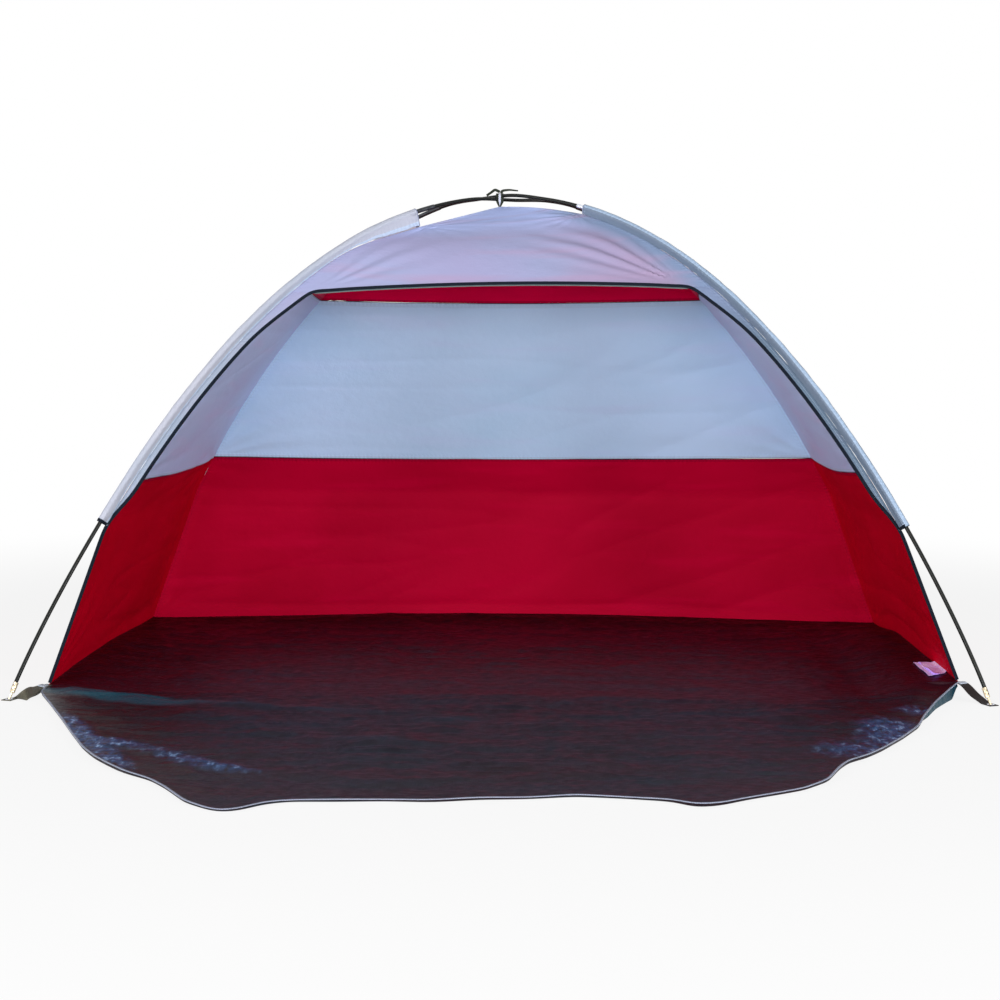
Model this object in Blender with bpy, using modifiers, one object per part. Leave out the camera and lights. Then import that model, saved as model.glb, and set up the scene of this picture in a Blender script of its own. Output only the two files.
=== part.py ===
"""A two-pole beach shelter: a dome of sewn cloth, open at the front, whose floor runs on as an apron.

Metres, +Z up. The origin is the centre of the floor's underside, below the poles' crossing. The open
front faces -Y. Each pole runs from a front corner over the crown to the far back corner, so a leg in the
quarter +X +Y is worked out once and mirrored to the other three.
"""

import math

import bmesh
import bpy
import numpy as np
from mathutils import Vector

NAME = "beach_shelter"

# The floor, and the place of the pole tips outside its corners
FLOOR_WIDTH = 2.20
FLOOR_DEPTH = 1.20
FLOOR_SHEET = 0.002
TIP_REACH_SIDE = 0.049
TIP_REACH_FRONT = 0.103

# The bowed line of a pole, as height over its share of the way from the crown to the foot
POLE_RISE = 1.2225
BOW_POWER = 2.066
CROWN_POWER = 0.9186

# The steps that a leg is drawn in and measured in, and how far to either side a slope is read
LEG_STEPS = 17
FINE_STEPS = 900
SLOPE_STEP = 0.02

# The poles: hollow rods in sections, joined by outside ferrules, with an elastic cord through them
POLE_DIAMETER = 0.0095
POLE_BORE = 0.006
SECTIONS = 7
FERRULE_LENGTH = 0.10
FERRULE_WALL = 0.0007
CORD_DIAMETER = 0.0025
ROD_ROUND_STEPS = 2
THIN_ROUND_STEPS = 1

# The tip on each pole end: a collar over the rod, and a pin that stands in the corner eyelet
COLLAR_DEPTH = 0.022
COLLAR_WALL = 0.0009
COLLAR_FLOOR = 0.003
PIN_LENGTH = 0.018
PIN_DIAMETER = 0.0055
TIP_STEPS = 12

# The cloth: walls and roof, sewn in bands that change colour at one height and at one drop below the poles
CLOTH = 0.0015
LOWER_SEAM_HEIGHT = 0.49
UPPER_SEAM_DROP = 0.279
CROWN_DROP = 0.026
WALL_SETBACK = 0.004
FRONT_SETBACK = 0.008
BACK_HOLLOW = 0.020
SIDE_HOLLOW = 0.012
CROWN_TIP = 0.002
BACK_COLUMNS = 8
SIDE_COLUMNS = 5

# The sleeves along the poles: a round channel for the rod, and a web down to the roof seam
SLEEVE_CLOTH = 0.001
SLEEVE_RADIUS = 0.0085
SLEEVE_EDGE_RADIUS = 0.002
SLEEVE_DROP = 0.0165
SLEEVE_CROWN_DROP = 0.028
SLEEVE_FLARE_LENGTH = 0.26
SLEEVE_FOOT_GAP = 0.46
SLEEVE_CROWN_GAP = 0.255
SLEEVE_ARC_POINTS = 7

# The front: an awning over the opening, a strip down each pole, and a binding tape round the edge
STRIP_WIDTH = 0.028
STRIP_FOOT_WIDTH = 0.003
STRIP_TAPER_LENGTH = 0.14
AWNING_CORNER_DROP = 0.247
AWNING_EDGE_ARCH = 0.028
AWNING_COLUMNS = 6
BINDING_RADIUS = 0.0022

# The apron: the floor sheet's front part, which lies on the ground and folds up at the door line
APRON_INSET = 0.010
APRON_CORNER_INSET = 0.030
APRON_LENGTH = 1.17
HEM_WIDTH = 0.008
HEM_THICKNESS = 0.0024
APRON_EDGE_SHARES = (
    (-0.98, 0.04), (-0.93, 0.18), (-0.88, 0.31), (-0.82, 0.46), (-0.755, 0.59), (-0.68, 0.715),
    (-0.575, 0.83), (-0.52, 0.91), (-0.47, 0.98), (-0.415, 1.00), (-0.36, 0.975), (-0.235, 0.945),
    (-0.07, 0.93), (0.05, 0.905), (0.15, 0.895), (0.23, 0.89), (0.32, 0.92), (0.385, 0.945),
    (0.43, 0.91), (0.52, 0.835), (0.57, 0.77), (0.63, 0.66), (0.69, 0.59), (0.74, 0.52),
    (0.79, 0.435), (0.88, 0.22), (0.95, 0.075),
)

# The corner tabs, each a webbing strap with an eyelet for the pole's pin
TAB_WIDTH = 0.025
TAB_THICKNESS = 0.0015
TAB_TAIL = 0.018
EYELET_WALL = 0.0007
EYELET_FLANGE = 0.004
EYELET_STEPS = 16

# The tie that hangs the roof from the crossing: a tape loop with two tails
LOOP_TAPE_RADIUS = 0.0015
LOOP_ARC_STEPS = 6
LOOP_FOOT = 0.002
TAIL_HALF_WIDTH = 0.004
TAIL_LEFT_LENGTH = 0.014
TAIL_RIGHT_LENGTH = 0.055
TAIL_RISE = 0.010

# The blank sewn label, which stands out level from the right wall where the cloth's pull lifts its seam
LABEL_LENGTH = 0.144
LABEL_WIDTH = 0.061
LABEL_SKEW = 0.060
LABEL_THICKNESS = 0.0008
LABEL_MIDDLE = -0.402
LABEL_HEIGHT = 0.036
LABEL_CLEARANCE = 0.0011

# What touching pieces keep between them, and how far a cutter runs past a face
GAP = 0.0003
OVERRUN = 0.002

HALF_WIDTH = FLOOR_WIDTH / 2
HALF_DEPTH = FLOOR_DEPTH / 2
TIP_X = HALF_WIDTH + TIP_REACH_SIDE
TIP_Y = HALF_DEPTH + TIP_REACH_FRONT
HALF_SPAN = math.hypot(TIP_X, TIP_Y)
POLE_RADIUS = POLE_DIAMETER / 2
CROSSING_LIFT = POLE_RADIUS + GAP / 2
LIFT_FADE = SLEEVE_CROWN_GAP / HALF_SPAN
LEFT, RIGHT, FRONT, BACK = -1, 1, -1, 1


class Route:
    """A line of points, which can be read and cut by the distance along it."""

    def __init__(self, points):
        self.points = [Vector(p) for p in points]
        steps = [(b - a).length for a, b in zip(self.points, self.points[1:])]
        self.marks = [0.0] + list(np.cumsum(steps))
        self.length = self.marks[-1]

    def at(self, distance):
        """The point at a distance along the route, held between its two ends."""
        distance = min(max(distance, 0.0), self.length)
        index = int(np.searchsorted(self.marks, distance, side="right")) - 1
        index = min(index, len(self.points) - 2)
        share = (distance - self.marks[index]) / (self.marks[index + 1] - self.marks[index])
        return self.points[index].lerp(self.points[index + 1], share)

    def stops(self, start, end):
        """The distances of both ends of a stretch and of the route's own points between them."""
        inner = [m for m in self.marks if start + GAP < m < end - GAP]
        return [start] + inner + [end]

    def cut(self, start, end):
        """The points of a stretch of the route."""
        return [self.at(d) for d in self.stops(start, end)]

    def direction(self, distance):
        """The unit direction of travel at a distance, from a point on either side of it."""
        return (self.at(distance + SLOPE_STEP) - self.at(distance - SLOPE_STEP)).normalized()

    def distance_at_height(self, height):
        """How far along a route that only climbs or only falls it meets a height."""
        heights = [p.z for p in self.points]
        marks = self.marks
        if heights[0] > heights[-1]:
            heights, marks = heights[::-1], marks[::-1]
        return float(np.interp(height, heights, marks))


def ease(share):
    """A share from 0 to 1, eased at both ends."""
    share = min(max(share, 0.0), 1.0)
    return share * share * (3 - 2 * share)


def bow_height(share):
    """Height of a pole's middle line at a share of the way out from the crown."""
    rest = max(1.0 - abs(share) ** BOW_POWER, 0.0)
    return POLE_RISE * rest ** CROWN_POWER


def leg_shares():
    """Shares of the half span at even steps along a leg, from the crown to the foot."""
    fine = np.linspace(0.0, 1.0, FINE_STEPS + 1)
    heights = np.array([bow_height(s) for s in fine])
    travel = np.hypot(np.diff(fine) * HALF_SPAN, np.diff(heights))
    along = np.concatenate(([0.0], np.cumsum(travel)))
    return list(np.interp(np.linspace(0.0, along[-1], LEG_STEPS + 1), along, fine))


def leg_route(lift=0.0):
    """A leg's middle line in the +X +Y quarter, from the crown to the foot, lifted a little at the crown."""
    points = []
    for share in leg_shares():
        height = bow_height(share) + lift * (1 - ease(share / LIFT_FADE))
        points.append((TIP_X * share, TIP_Y * share, height))
    return Route(points)


def mirrored(points, side, end):
    """Points of the +X +Y quarter, taken to the quarter of a side and an end."""
    return [Vector((p.x * side, p.y * end, p.z)) for p in points]


def pole_route(side, lift):
    """A whole pole's middle line, from its front foot on one side to its back foot on the other."""
    leg = leg_route(lift).points
    front = mirrored(leg[:0:-1], side, FRONT)
    return Route(front + mirrored(leg, -side, BACK))


def outward(leg, distance):
    """The unit direction square to a leg, in its own upright plane, away from the tent."""
    along = leg.direction(distance)
    level = Vector((TIP_X, TIP_Y, 0.0)).normalized()
    run = along.dot(level)
    return (level * -along.z + Vector((0.0, 0.0, run))).normalized()


def sleeve_drop(distance):
    """How far the roof seam lies below the pole's middle line, which grows towards the crown."""
    share = 1 - (distance - SLEEVE_CROWN_GAP) / SLEEVE_FLARE_LENGTH
    return SLEEVE_DROP + (SLEEVE_CROWN_DROP - SLEEVE_DROP) * ease(share)


def seam_route():
    """The roof seam of the +X +Y quarter, from the floor up to the crown, and where its sleeve starts."""
    leg = leg_route()
    start = leg.length - SLEEVE_FOOT_GAP
    stops = leg.stops(SLEEVE_CROWN_GAP, start)[::-1]
    sewn = [leg.at(d) - outward(leg, d) * sleeve_drop(d) for d in stops]
    corner = Vector((HALF_WIDTH - WALL_SETBACK, HALF_DEPTH - FRONT_SETBACK, FLOOR_SHEET + GAP))
    rise = (sewn[0] - corner).normalized()
    corner.z += CLOTH / 2 * math.hypot(rise.x, rise.y)
    crown = Vector((0.0, 0.0, POLE_RISE - CROWN_DROP))
    low_steps = math.ceil((corner - sewn[0]).length * LEG_STEPS / leg.length)
    low = [corner.lerp(sewn[0], i / low_steps) for i in range(low_steps)]
    high_steps = math.ceil((crown - sewn[-1]).length * LEG_STEPS / leg.length)
    high = [sewn[-1].lerp(crown, i / high_steps) for i in range(1, high_steps + 1)]
    return Route(low + sewn + high), (sewn[0] - corner).length


def principled(name, colour, roughness, metallic=0.0):
    """A material of one colour."""
    material = bpy.data.materials.new(name)
    material.use_nodes = True
    shader = material.node_tree.nodes["Principled BSDF"]
    shader.inputs["Base Color"].default_value = (*colour, 1.0)
    shader.inputs["Roughness"].default_value = roughness
    shader.inputs["Metallic"].default_value = metallic
    material.diffuse_color = (*colour, 1.0)
    return material


def place(obj, material, parent, collection):
    """Give an object its material, its parent and its collection."""
    collection.objects.link(obj)
    obj.data.materials.append(material)
    obj.parent = parent
    if parent is not None:
        obj.location = obj.location - parent.location
    return obj


def empty(name, location, collection):
    """A guide empty, for instance on a hinge line."""
    guide = bpy.data.objects.new(name, None)
    guide.location = location
    guide.empty_display_size = TAB_WIDTH
    guide.hide_render = True
    collection.objects.link(guide)
    return guide


def line_curve(name, points, closed=False):
    """A curve object through points, with its origin at the middle of them."""
    middle = sum(points, Vector()) / len(points)
    data = bpy.data.curves.new(name, "CURVE")
    data.dimensions = "3D"
    data.twist_mode = "Z_UP"
    spline = data.splines.new("POLY")
    spline.points.add(len(points) - 1)
    spline.use_cyclic_u = closed
    for slot, point in zip(spline.points, points):
        slot.co = (*(point - middle), 1.0)
    obj = bpy.data.objects.new(name, data)
    obj.location = middle
    return obj


def rod(name, points, radius, rounding=ROD_ROUND_STEPS, wall=0.0, closed=False):
    """A round bar along points, or a tube where it has a wall."""
    obj = line_curve(name, points, closed)
    obj.data.bevel_depth = radius
    obj.data.bevel_resolution = rounding
    obj.data.use_fill_caps = not wall and not closed
    if wall:
        shell = obj.modifiers.new("wall", "SOLIDIFY")
        shell.thickness = wall
        shell.offset = -1.0
    return obj


def flat_outline(name, outline, thickness, underside):
    """A flat sheet of an outline, lying with its underside at a height."""
    middle = sum(outline, Vector()) / len(outline)
    data = bpy.data.curves.new(name, "CURVE")
    data.dimensions = "2D"
    data.fill_mode = "BOTH"
    data.extrude = thickness / 2
    spline = data.splines.new("POLY")
    spline.points.add(len(outline) - 1)
    spline.use_cyclic_u = True
    for slot, point in zip(spline.points, outline):
        slot.co = (point.x - middle.x, point.y - middle.y, 0.0, 1.0)
    obj = bpy.data.objects.new(name, data)
    obj.location = (middle.x, middle.y, underside + thickness / 2)
    return obj


def turned(name, profile, steps, closed=False):
    """A turned piece from a profile of radius and height, which runs down its outer side."""
    mesh = bpy.data.meshes.new(name)
    form = bmesh.new()
    corners = [form.verts.new((radius, 0.0, height)) for radius, height in profile]
    for a, b in zip(corners, corners[1:]):
        form.edges.new((a, b))
    if closed:
        form.edges.new((corners[-1], corners[0]))
    form.to_mesh(mesh)
    form.free()
    obj = bpy.data.objects.new(name, mesh)
    screw = obj.modifiers.new("turn", "SCREW")
    screw.steps = steps
    screw.render_steps = steps
    screw.use_merge_vertices = True
    screw.merge_threshold = GAP / 10
    return obj


def net(name, rows, wrap=False, flip=False):
    """A mesh object over rows of points, with a face between each two rows and columns that both hold."""
    mesh = bpy.data.meshes.new(name)
    form = bmesh.new()
    grid = [[form.verts.new(p) if p is not None else None for p in row] for row in rows]
    for low, high in zip(grid, grid[1:]):
        columns = len(low) if wrap else len(low) - 1
        for i in range(columns):
            corners = [low[i], low[(i + 1) % len(low)], high[(i + 1) % len(low)], high[i]]
            if all(corners):
                form.faces.new(corners[::-1] if flip else corners)
    form.to_mesh(mesh)
    form.free()
    mesh.shade_smooth()
    return bpy.data.objects.new(name, mesh)


def thicken(obj, thickness, offset):
    """Turn an open sheet into a closed solid."""
    shell = obj.modifiers.new("cloth", "SOLIDIFY")
    shell.thickness = thickness
    shell.offset = offset
    shell.use_even_offset = True
    return obj


def solid_mesh(obj, collection):
    """The evaluated, welded mesh of an object as a new object, which can be cut or joined."""
    collection.objects.link(obj)
    bpy.context.view_layer.update()
    source = obj.evaluated_get(bpy.context.evaluated_depsgraph_get())
    mesh = bpy.data.meshes.new_from_object(source)
    form = bmesh.new()
    form.from_mesh(mesh)
    bmesh.ops.remove_doubles(form, verts=form.verts, dist=GAP / 10)
    form.to_mesh(mesh)
    form.free()
    name, place_in_world = obj.name, obj.matrix_world.copy()
    bpy.data.objects.remove(obj)
    joined = bpy.data.objects.new(name, mesh)
    joined.matrix_world = place_in_world
    return joined


def combine(target, tool, operation, collection):
    """Cut a tool out of an object, or join it on, and keep the tool with the cutters."""
    collection.objects.link(tool)
    tool.hide_render = True
    tool.display_type = "WIRE"
    step = target.modifiers.new(operation.lower(), "BOOLEAN")
    step.operation = operation
    step.object = tool
    return target


class Shelter:
    """The whole shelter: its materials, its empties and one method for each sub-assembly."""

    def __init__(self, collection, cutters):
        self.collection = collection
        self.cutters = cutters
        self.seam, self.sleeve_foot = seam_route()
        self.leg = leg_route()
        self.frame = empty("frame", (0.0, 0.0, 0.0), cutters)
        self.door_line = empty("door_line", (0.0, -HALF_DEPTH, HEM_THICKNESS), cutters)
        self.label_line = empty("label_line", self.label_hinge(), cutters)
        self.rod_finish = principled("pole_rod", (0.012, 0.022, 0.018), 0.35)
        self.steel = principled("ferrule_steel", (0.60, 0.62, 0.66), 0.28, 1.0)
        self.brass = principled("tip_brass", (0.62, 0.50, 0.33), 0.35, 1.0)
        self.elastic = principled("elastic_cord", (0.03, 0.03, 0.03), 0.8)
        self.silver_cloth = principled("silver_cloth", (0.38, 0.42, 0.62), 0.55)
        self.red_cloth = principled("red_cloth", (0.36, 0.0, 0.025), 0.5)
        self.dark_cloth = principled("floor_sheet", (0.045, 0.022, 0.040), 0.35)
        self.black_tape = principled("black_tape", (0.006, 0.007, 0.014), 0.7)
        self.hem_tape = principled("hem_tape", (0.30, 0.34, 0.42), 0.6)
        self.webbing = principled("webbing", (0.20, 0.19, 0.20), 0.8)
        self.white_tape = principled("white_tape", (0.70, 0.72, 0.76), 0.7)
        self.label_cloth = principled("label_cloth", (0.62, 0.42, 0.54), 0.7)

    def add(self, obj, material, parent=None):
        """Put a finished piece into the shelter."""
        return place(obj, material, parent or self.frame, self.collection)

    def label_hinge(self):
        """A point on the underside of the label's sewn edge, which keeps room to turn by the wall."""
        row = self.panel_row(self.seam.distance_at_height(LABEL_HEIGHT), False, SIDE_COLUMNS, SIDE_HOLLOW)
        back_end = LABEL_MIDDLE + LABEL_LENGTH / 2
        face = float(np.interp(back_end, [p.y for p in row], [p.x for p in row])) - CLOTH / 2
        return Vector((face - LABEL_CLEARANCE, LABEL_MIDDLE, LABEL_HEIGHT))

    # Poles

    def tip_stand(self, up):
        """How far from a pole's foot its pin ends and its rod ends, where the pole comes down at a slope."""
        level = math.sqrt(1 - up.z ** 2)
        pin_end = (PIN_DIAMETER / 2 * level + GAP) / up.z
        return pin_end, pin_end + PIN_LENGTH + COLLAR_FLOOR + GAP

    def pole(self, letter, side, lift):
        """One pole: its sections, the ferrules over their joints, the cord inside and the two tips."""
        route = pole_route(side, lift)
        points = route.points
        ends = (("front", points[0], (points[1] - points[0]).normalized()),
                ("back", points[-1], (points[-2] - points[-1]).normalized()))
        pin_end, rod_end = self.tip_stand(ends[0][2])
        step = (route.length - 2 * rod_end) / SECTIONS
        wall = POLE_RADIUS - POLE_BORE / 2
        for i in range(SECTIONS):
            start = rod_end + i * step + GAP / 2
            stretch = route.cut(start, start + step - GAP)
            self.add(rod(f"pole_{letter}_section_{i + 1}", stretch, POLE_RADIUS, wall=wall), self.rod_finish)
        ferrule_radius = POLE_RADIUS + GAP + FERRULE_WALL
        for i in range(1, SECTIONS):
            middle = rod_end + i * step
            stretch = route.cut(middle - FERRULE_LENGTH / 2, middle + FERRULE_LENGTH / 2)
            piece = rod(f"pole_{letter}_ferrule_{i}", stretch, ferrule_radius, wall=FERRULE_WALL)
            self.add(piece, self.steel)
        inside = route.cut(rod_end, route.length - rod_end)
        cord = rod(f"pole_{letter}_elastic_cord", inside, CORD_DIAMETER / 2, rounding=THIN_ROUND_STEPS)
        self.add(cord, self.elastic)
        for end, foot, up in ends:
            tip = turned(f"pole_{letter}_tip_{end}", self.tip_profile(), TIP_STEPS)
            tip.location = foot + up * pin_end
            tip.rotation_mode = "QUATERNION"
            tip.rotation_quaternion = up.to_track_quat("Z", "Y")
            self.add(tip, self.brass)

    def tip_profile(self):
        """Radius and height of a tip, from its bore's floor over the rim and down to the pin's end."""
        bore = POLE_RADIUS + GAP
        outer = bore + COLLAR_WALL
        pin = PIN_DIAMETER / 2
        seat = PIN_LENGTH + COLLAR_FLOOR
        rim = seat + COLLAR_DEPTH
        return ((0.0, seat), (bore, seat), (bore, rim), (outer, rim), (outer, PIN_LENGTH), (pin, PIN_LENGTH),
                (pin, 0.0), (0.0, 0.0))

    # Sleeves

    def sleeve_ring(self, distance, inner_drop):
        """One ring of a sleeve's cross-section: an arc round the rod and a narrow lower edge."""
        middle = self.leg.at(distance)
        out = outward(self.leg, distance)
        across = out.cross(self.leg.direction(distance)).normalized()
        low = inner_drop - SLEEVE_EDGE_RADIUS
        lean = math.asin((SLEEVE_RADIUS - SLEEVE_EDGE_RADIUS) / low)
        ring = []
        for i in range(SLEEVE_ARC_POINTS):
            angle = -lean + (math.pi + 2 * lean) * i / (SLEEVE_ARC_POINTS - 1)
            ring.append(middle + (across * math.cos(angle) + out * math.sin(angle)) * SLEEVE_RADIUS)
        for angle in (math.pi + lean, math.pi * 3 / 2, 2 * math.pi - lean):
            offset = (across * math.cos(angle) + out * math.sin(angle)) * SLEEVE_EDGE_RADIUS
            ring.append(middle - out * low + offset)
        return ring

    def sleeve(self, name, side, end):
        """One sleeve along a leg, open at its foot and at its crown end."""
        stops = self.leg.stops(SLEEVE_CROWN_GAP, self.leg.length - SLEEVE_FOOT_GAP)
        rings = []
        for stop in stops:
            drop = sleeve_drop(stop) - CLOTH / 2 - GAP
            rings.append(mirrored(self.sleeve_ring(stop, drop), side, end))
        piece = thicken(net(name, rings, wrap=True, flip=side * end > 0), SLEEVE_CLOTH, -1.0)
        self.add(piece, self.silver_cloth)

    # Walls and roof

    def edge_inset(self, across_share):
        """How far a panel stops short of its seam, so that the cloth on both sides of it keeps clear."""
        return (CLOTH / 2 + GAP) / across_share

    def panel_row(self, distance, across_x, columns, hollow):
        """One level row of a back or side panel of the +Y or +X side, hollowed between its two seams."""
        edge = self.seam.at(distance)
        along = self.seam.direction(distance)
        fall = math.hypot(along.x if not across_x else along.y, along.z)
        inward = -along.z / fall
        upward = (along.x if not across_x else along.y) / fall
        depth = hollow * math.sin(math.pi * distance / self.seam.length)
        side_share, front_share = TIP_Y / HALF_SPAN, TIP_X / HALF_SPAN
        half = (edge.x - self.edge_inset(side_share)) if across_x else (edge.y - self.edge_inset(front_share))
        row = []
        for i in range(columns + 1):
            share = 2 * i / columns - 1
            dip = depth * (1 - share ** 2)
            if across_x:
                row.append(Vector((half * share, edge.y + dip * inward, edge.z + dip * upward)))
            else:
                row.append(Vector((edge.x + dip * inward, half * share, edge.z + dip * upward)))
        return row

    def panel(self, name, material, start, end, side, columns):
        """A band of the back wall, for side 0, or of a side wall, between two distances up the seam."""
        hollow = BACK_HOLLOW if side == 0 else SIDE_HOLLOW
        rows = []
        for distance in self.seam.stops(start, end):
            row = self.panel_row(distance, side == 0, columns, hollow)
            rows.append([Vector((p.x * side, p.y, p.z)) for p in row] if side else row)
        self.add(thicken(net(name, rows), CLOTH, 0.0), material)

    def crown_end(self):
        """How far up the seam the roof panels run before they meet at the crown."""
        shares = (TIP_Y / HALF_SPAN, TIP_X / HALF_SPAN)
        reach = max((self.edge_inset(s) + CROWN_TIP) / other for s, other in zip(shares, shares[::-1]))
        return self.seam.length - reach

    def walls(self):
        """The red lower walls, the silver upper walls and the red roof, in three panels each."""
        low = self.seam.distance_at_height(LOWER_SEAM_HEIGHT)
        high = self.seam.distance_at_height(POLE_RISE - UPPER_SEAM_DROP)
        bands = (
            ("wall_lower", self.red_cloth, 0.0, low - GAP / 2),
            ("wall_upper", self.silver_cloth, low + GAP / 2, high - GAP / 2),
            ("roof", self.red_cloth, high + GAP / 2, self.crown_end()),
        )
        for band, material, start, end in bands:
            self.panel(f"left_{band}", material, start, end, LEFT, SIDE_COLUMNS)
            self.panel(f"right_{band}", material, start, end, RIGHT, SIDE_COLUMNS)
            self.panel(f"back_{band}", material, start, end, 0, BACK_COLUMNS)

    # Front

    def front_point(self, distance, across):
        """A point of the front roof at a distance up the seam and a signed share of the way across."""
        edge = self.seam.at(distance)
        half = edge.x - self.edge_inset(TIP_Y / HALF_SPAN)
        return Vector((half * across, -edge.y, edge.z))

    def strip_share(self, distance):
        """The signed share across the front at which the strip along a pole ends."""
        edge = self.seam.at(distance)
        along = self.seam.direction(distance)
        slope = along.z / math.hypot(along.x, along.z)
        grown = ease((distance - self.sleeve_foot) / STRIP_TAPER_LENGTH)
        width = (STRIP_FOOT_WIDTH + (STRIP_WIDTH - STRIP_FOOT_WIDTH) * grown) / slope
        half = edge.x - self.edge_inset(TIP_Y / HALF_SPAN)
        return 1 - width / half

    def awning_edge(self, across, corner, corner_share):
        """How far up the seam the awning's front edge lies, which arches up between its corners."""
        return corner + AWNING_EDGE_ARCH * (1 - (across / corner_share) ** 2)

    def front(self):
        """The awning with its two strips as one sheet, and the binding round the opening."""
        corner = self.seam.distance_at_height(POLE_RISE - AWNING_CORNER_DROP)
        corner_share = self.strip_share(corner)
        columns = AWNING_COLUMNS
        rows = []
        for distance in self.seam.stops(self.sleeve_foot, corner)[:-1]:
            inner = self.strip_share(distance)
            gap_row = [None] * (columns - 1)
            ends = [self.front_point(distance, s) for s in (-1.0, -inner, inner, 1.0)]
            rows.append(ends[:2] + gap_row + ends[2:])
        crosses = [corner_share * (2 * i / columns - 1) for i in range(columns + 1)]
        edge = [self.front_point(self.awning_edge(c, corner, corner_share), c) for c in crosses]
        rows.append([self.front_point(corner, -1.0)] + edge + [self.front_point(corner, 1.0)])
        start = corner + AWNING_EDGE_ARCH + GAP
        for distance in self.seam.stops(start, self.crown_end())[1:]:
            inner = self.strip_share(distance)
            narrow = max(inner, corner_share / 2)
            shares = [-1.0] + [narrow * (2 * i / columns - 1) for i in range(columns + 1)] + [1.0]
            rows.append([self.front_point(distance, s) for s in shares])
        self.add(thicken(net("awning", rows), CLOTH, 0.0), self.silver_cloth)
        self.binding(corner, corner_share, edge)

    def binding(self, corner, corner_share, edge):
        """The tape round the opening: up a wall's front edge and a strip, across the awning and down."""
        stand = BINDING_RADIUS + GAP
        clear = stand + CLOTH / 2
        right = []
        for distance in self.seam.stops(stand, self.sleeve_foot)[:-1]:
            point = self.seam.at(distance)
            beside = clear / math.sqrt(2)
            right.append(Vector((point.x - beside, -point.y - beside, point.z)))
        stops = self.seam.stops(self.sleeve_foot, corner)[:-1]
        inner = [self.front_point(d, self.strip_share(d)) for d in stops] + [edge[-1]]
        slopes = [(q.z - p.z) / math.hypot(q.x - p.x, q.z - p.z) for p, q in zip(inner, inner[1:])]
        for point, below, above in zip(inner, slopes[:1] + slopes, slopes):
            right.append(point - Vector((stand / min(below, above), 0.0, 0.0)))
        along = self.seam.direction(corner)
        down = Vector((0.0, along.y, -along.z)).normalized()
        corner_point = edge[-1] + down * stand - Vector((stand, 0.0, 0.0))
        across = [point + down * stand for point in edge[1:-1]]
        left = mirrored(right, LEFT, BACK)
        mirror_corner = mirrored([corner_point], LEFT, BACK)
        path = left + mirror_corner + across + [corner_point] + right[::-1]
        self.add(rod("opening_binding", path, BINDING_RADIUS, rounding=THIN_ROUND_STEPS), self.black_tape)

    # Ground sheet

    def ground(self):
        """The floor, the apron in front of it and the hem round the apron."""
        front = GAP / 2 - HALF_DEPTH
        floor = [Vector((-HALF_WIDTH, front, 0.0)), Vector((HALF_WIDTH, front, 0.0)),
                 Vector((HALF_WIDTH, HALF_DEPTH, 0.0)), Vector((-HALF_WIDTH, HALF_DEPTH, 0.0))]
        self.add(flat_outline("floor", floor, FLOOR_SHEET, 0.0), self.dark_cloth)
        fold = -HALF_DEPTH - GAP / 2
        half = HALF_WIDTH - APRON_INSET
        corner = HALF_WIDTH - APRON_CORNER_INSET
        edge = [Vector((x * half, fold - y * APRON_LENGTH, 0.0)) for x, y in APRON_EDGE_SHARES]
        outline = [Vector((-corner, fold, 0.0))] + edge + [Vector((corner, fold, 0.0))]
        self.add(flat_outline("apron", outline, FLOOR_SHEET, 0.0), self.dark_cloth, self.door_line)
        inner = self.offset_line(outline, GAP)
        outer = self.offset_line(outline, GAP + HEM_WIDTH)
        hem = flat_outline("apron_hem", inner + outer[::-1], HEM_THICKNESS, 0.0)
        self.add(hem, self.hem_tape, self.door_line)

    def offset_line(self, line, distance):
        """A flat line moved outwards by a distance, with its two ends kept on the fold."""
        squares = []
        for a, b in zip(line, line[1:]):
            along = (b - a).normalized()
            squares.append(Vector((along.y, -along.x, 0.0)))
        moved = [line[0] + Vector((distance / squares[0].x, 0.0, 0.0))]
        for point, before, after in zip(line[1:], squares, squares[1:]):
            square = (before + after).normalized()
            moved.append(point + square * distance / square.dot(after))
        moved.append(line[-1] + Vector((distance / squares[-1].x, 0.0, 0.0)))
        return moved

    # Corner tabs

    def tab(self, word, side, end):
        """A webbing tab from a floor corner out to the pole's pin, and the eyelet that takes the pin."""
        corner = Vector((HALF_WIDTH * side, HALF_DEPTH * end, 0.0))
        foot = Vector((TIP_X * side, TIP_Y * end, 0.0))
        away = (foot - corner).normalized()
        square = Vector((-away.y, away.x, 0.0))
        flange = EYELET_WALL
        underside = flange + GAP
        top = underside + TAB_THICKNESS + GAP
        start = corner + away * GAP
        finish = foot + away * TAB_TAIL
        half = square * TAB_WIDTH / 2
        outline = [start - half, finish - half, finish + half, start + half]
        strap = flat_outline(f"corner_tab_{word}", outline, TAB_THICKNESS, underside)
        strap = solid_mesh(strap, self.collection)
        radius = self.eyelet_radius(top + flange)
        barrel = radius + EYELET_WALL
        centre = self.pin_centre(side, end, underside + TAB_THICKNESS / 2)
        bpy.ops.mesh.primitive_cylinder_add(
            vertices=EYELET_STEPS, radius=barrel + GAP, depth=TAB_THICKNESS + OVERRUN, location=centre)
        cutter = bpy.context.object
        for owner in cutter.users_collection:
            owner.objects.unlink(cutter)
        cutter.name = f"eyelet_cutter_{word}"
        self.add(combine(strap, cutter, "DIFFERENCE", self.cutters), self.webbing)
        rim = barrel + EYELET_FLANGE
        profile = ((rim, top + flange), (rim, top), (barrel, top), (barrel, flange), (rim, flange),
                   (rim, 0.0), (radius, 0.0), (radius, top + flange))
        eyelet = turned(f"eyelet_{word}", profile, EYELET_STEPS, closed=True)
        eyelet.location = (centre.x, centre.y, 0.0)
        self.add(eyelet, self.steel)

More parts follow.
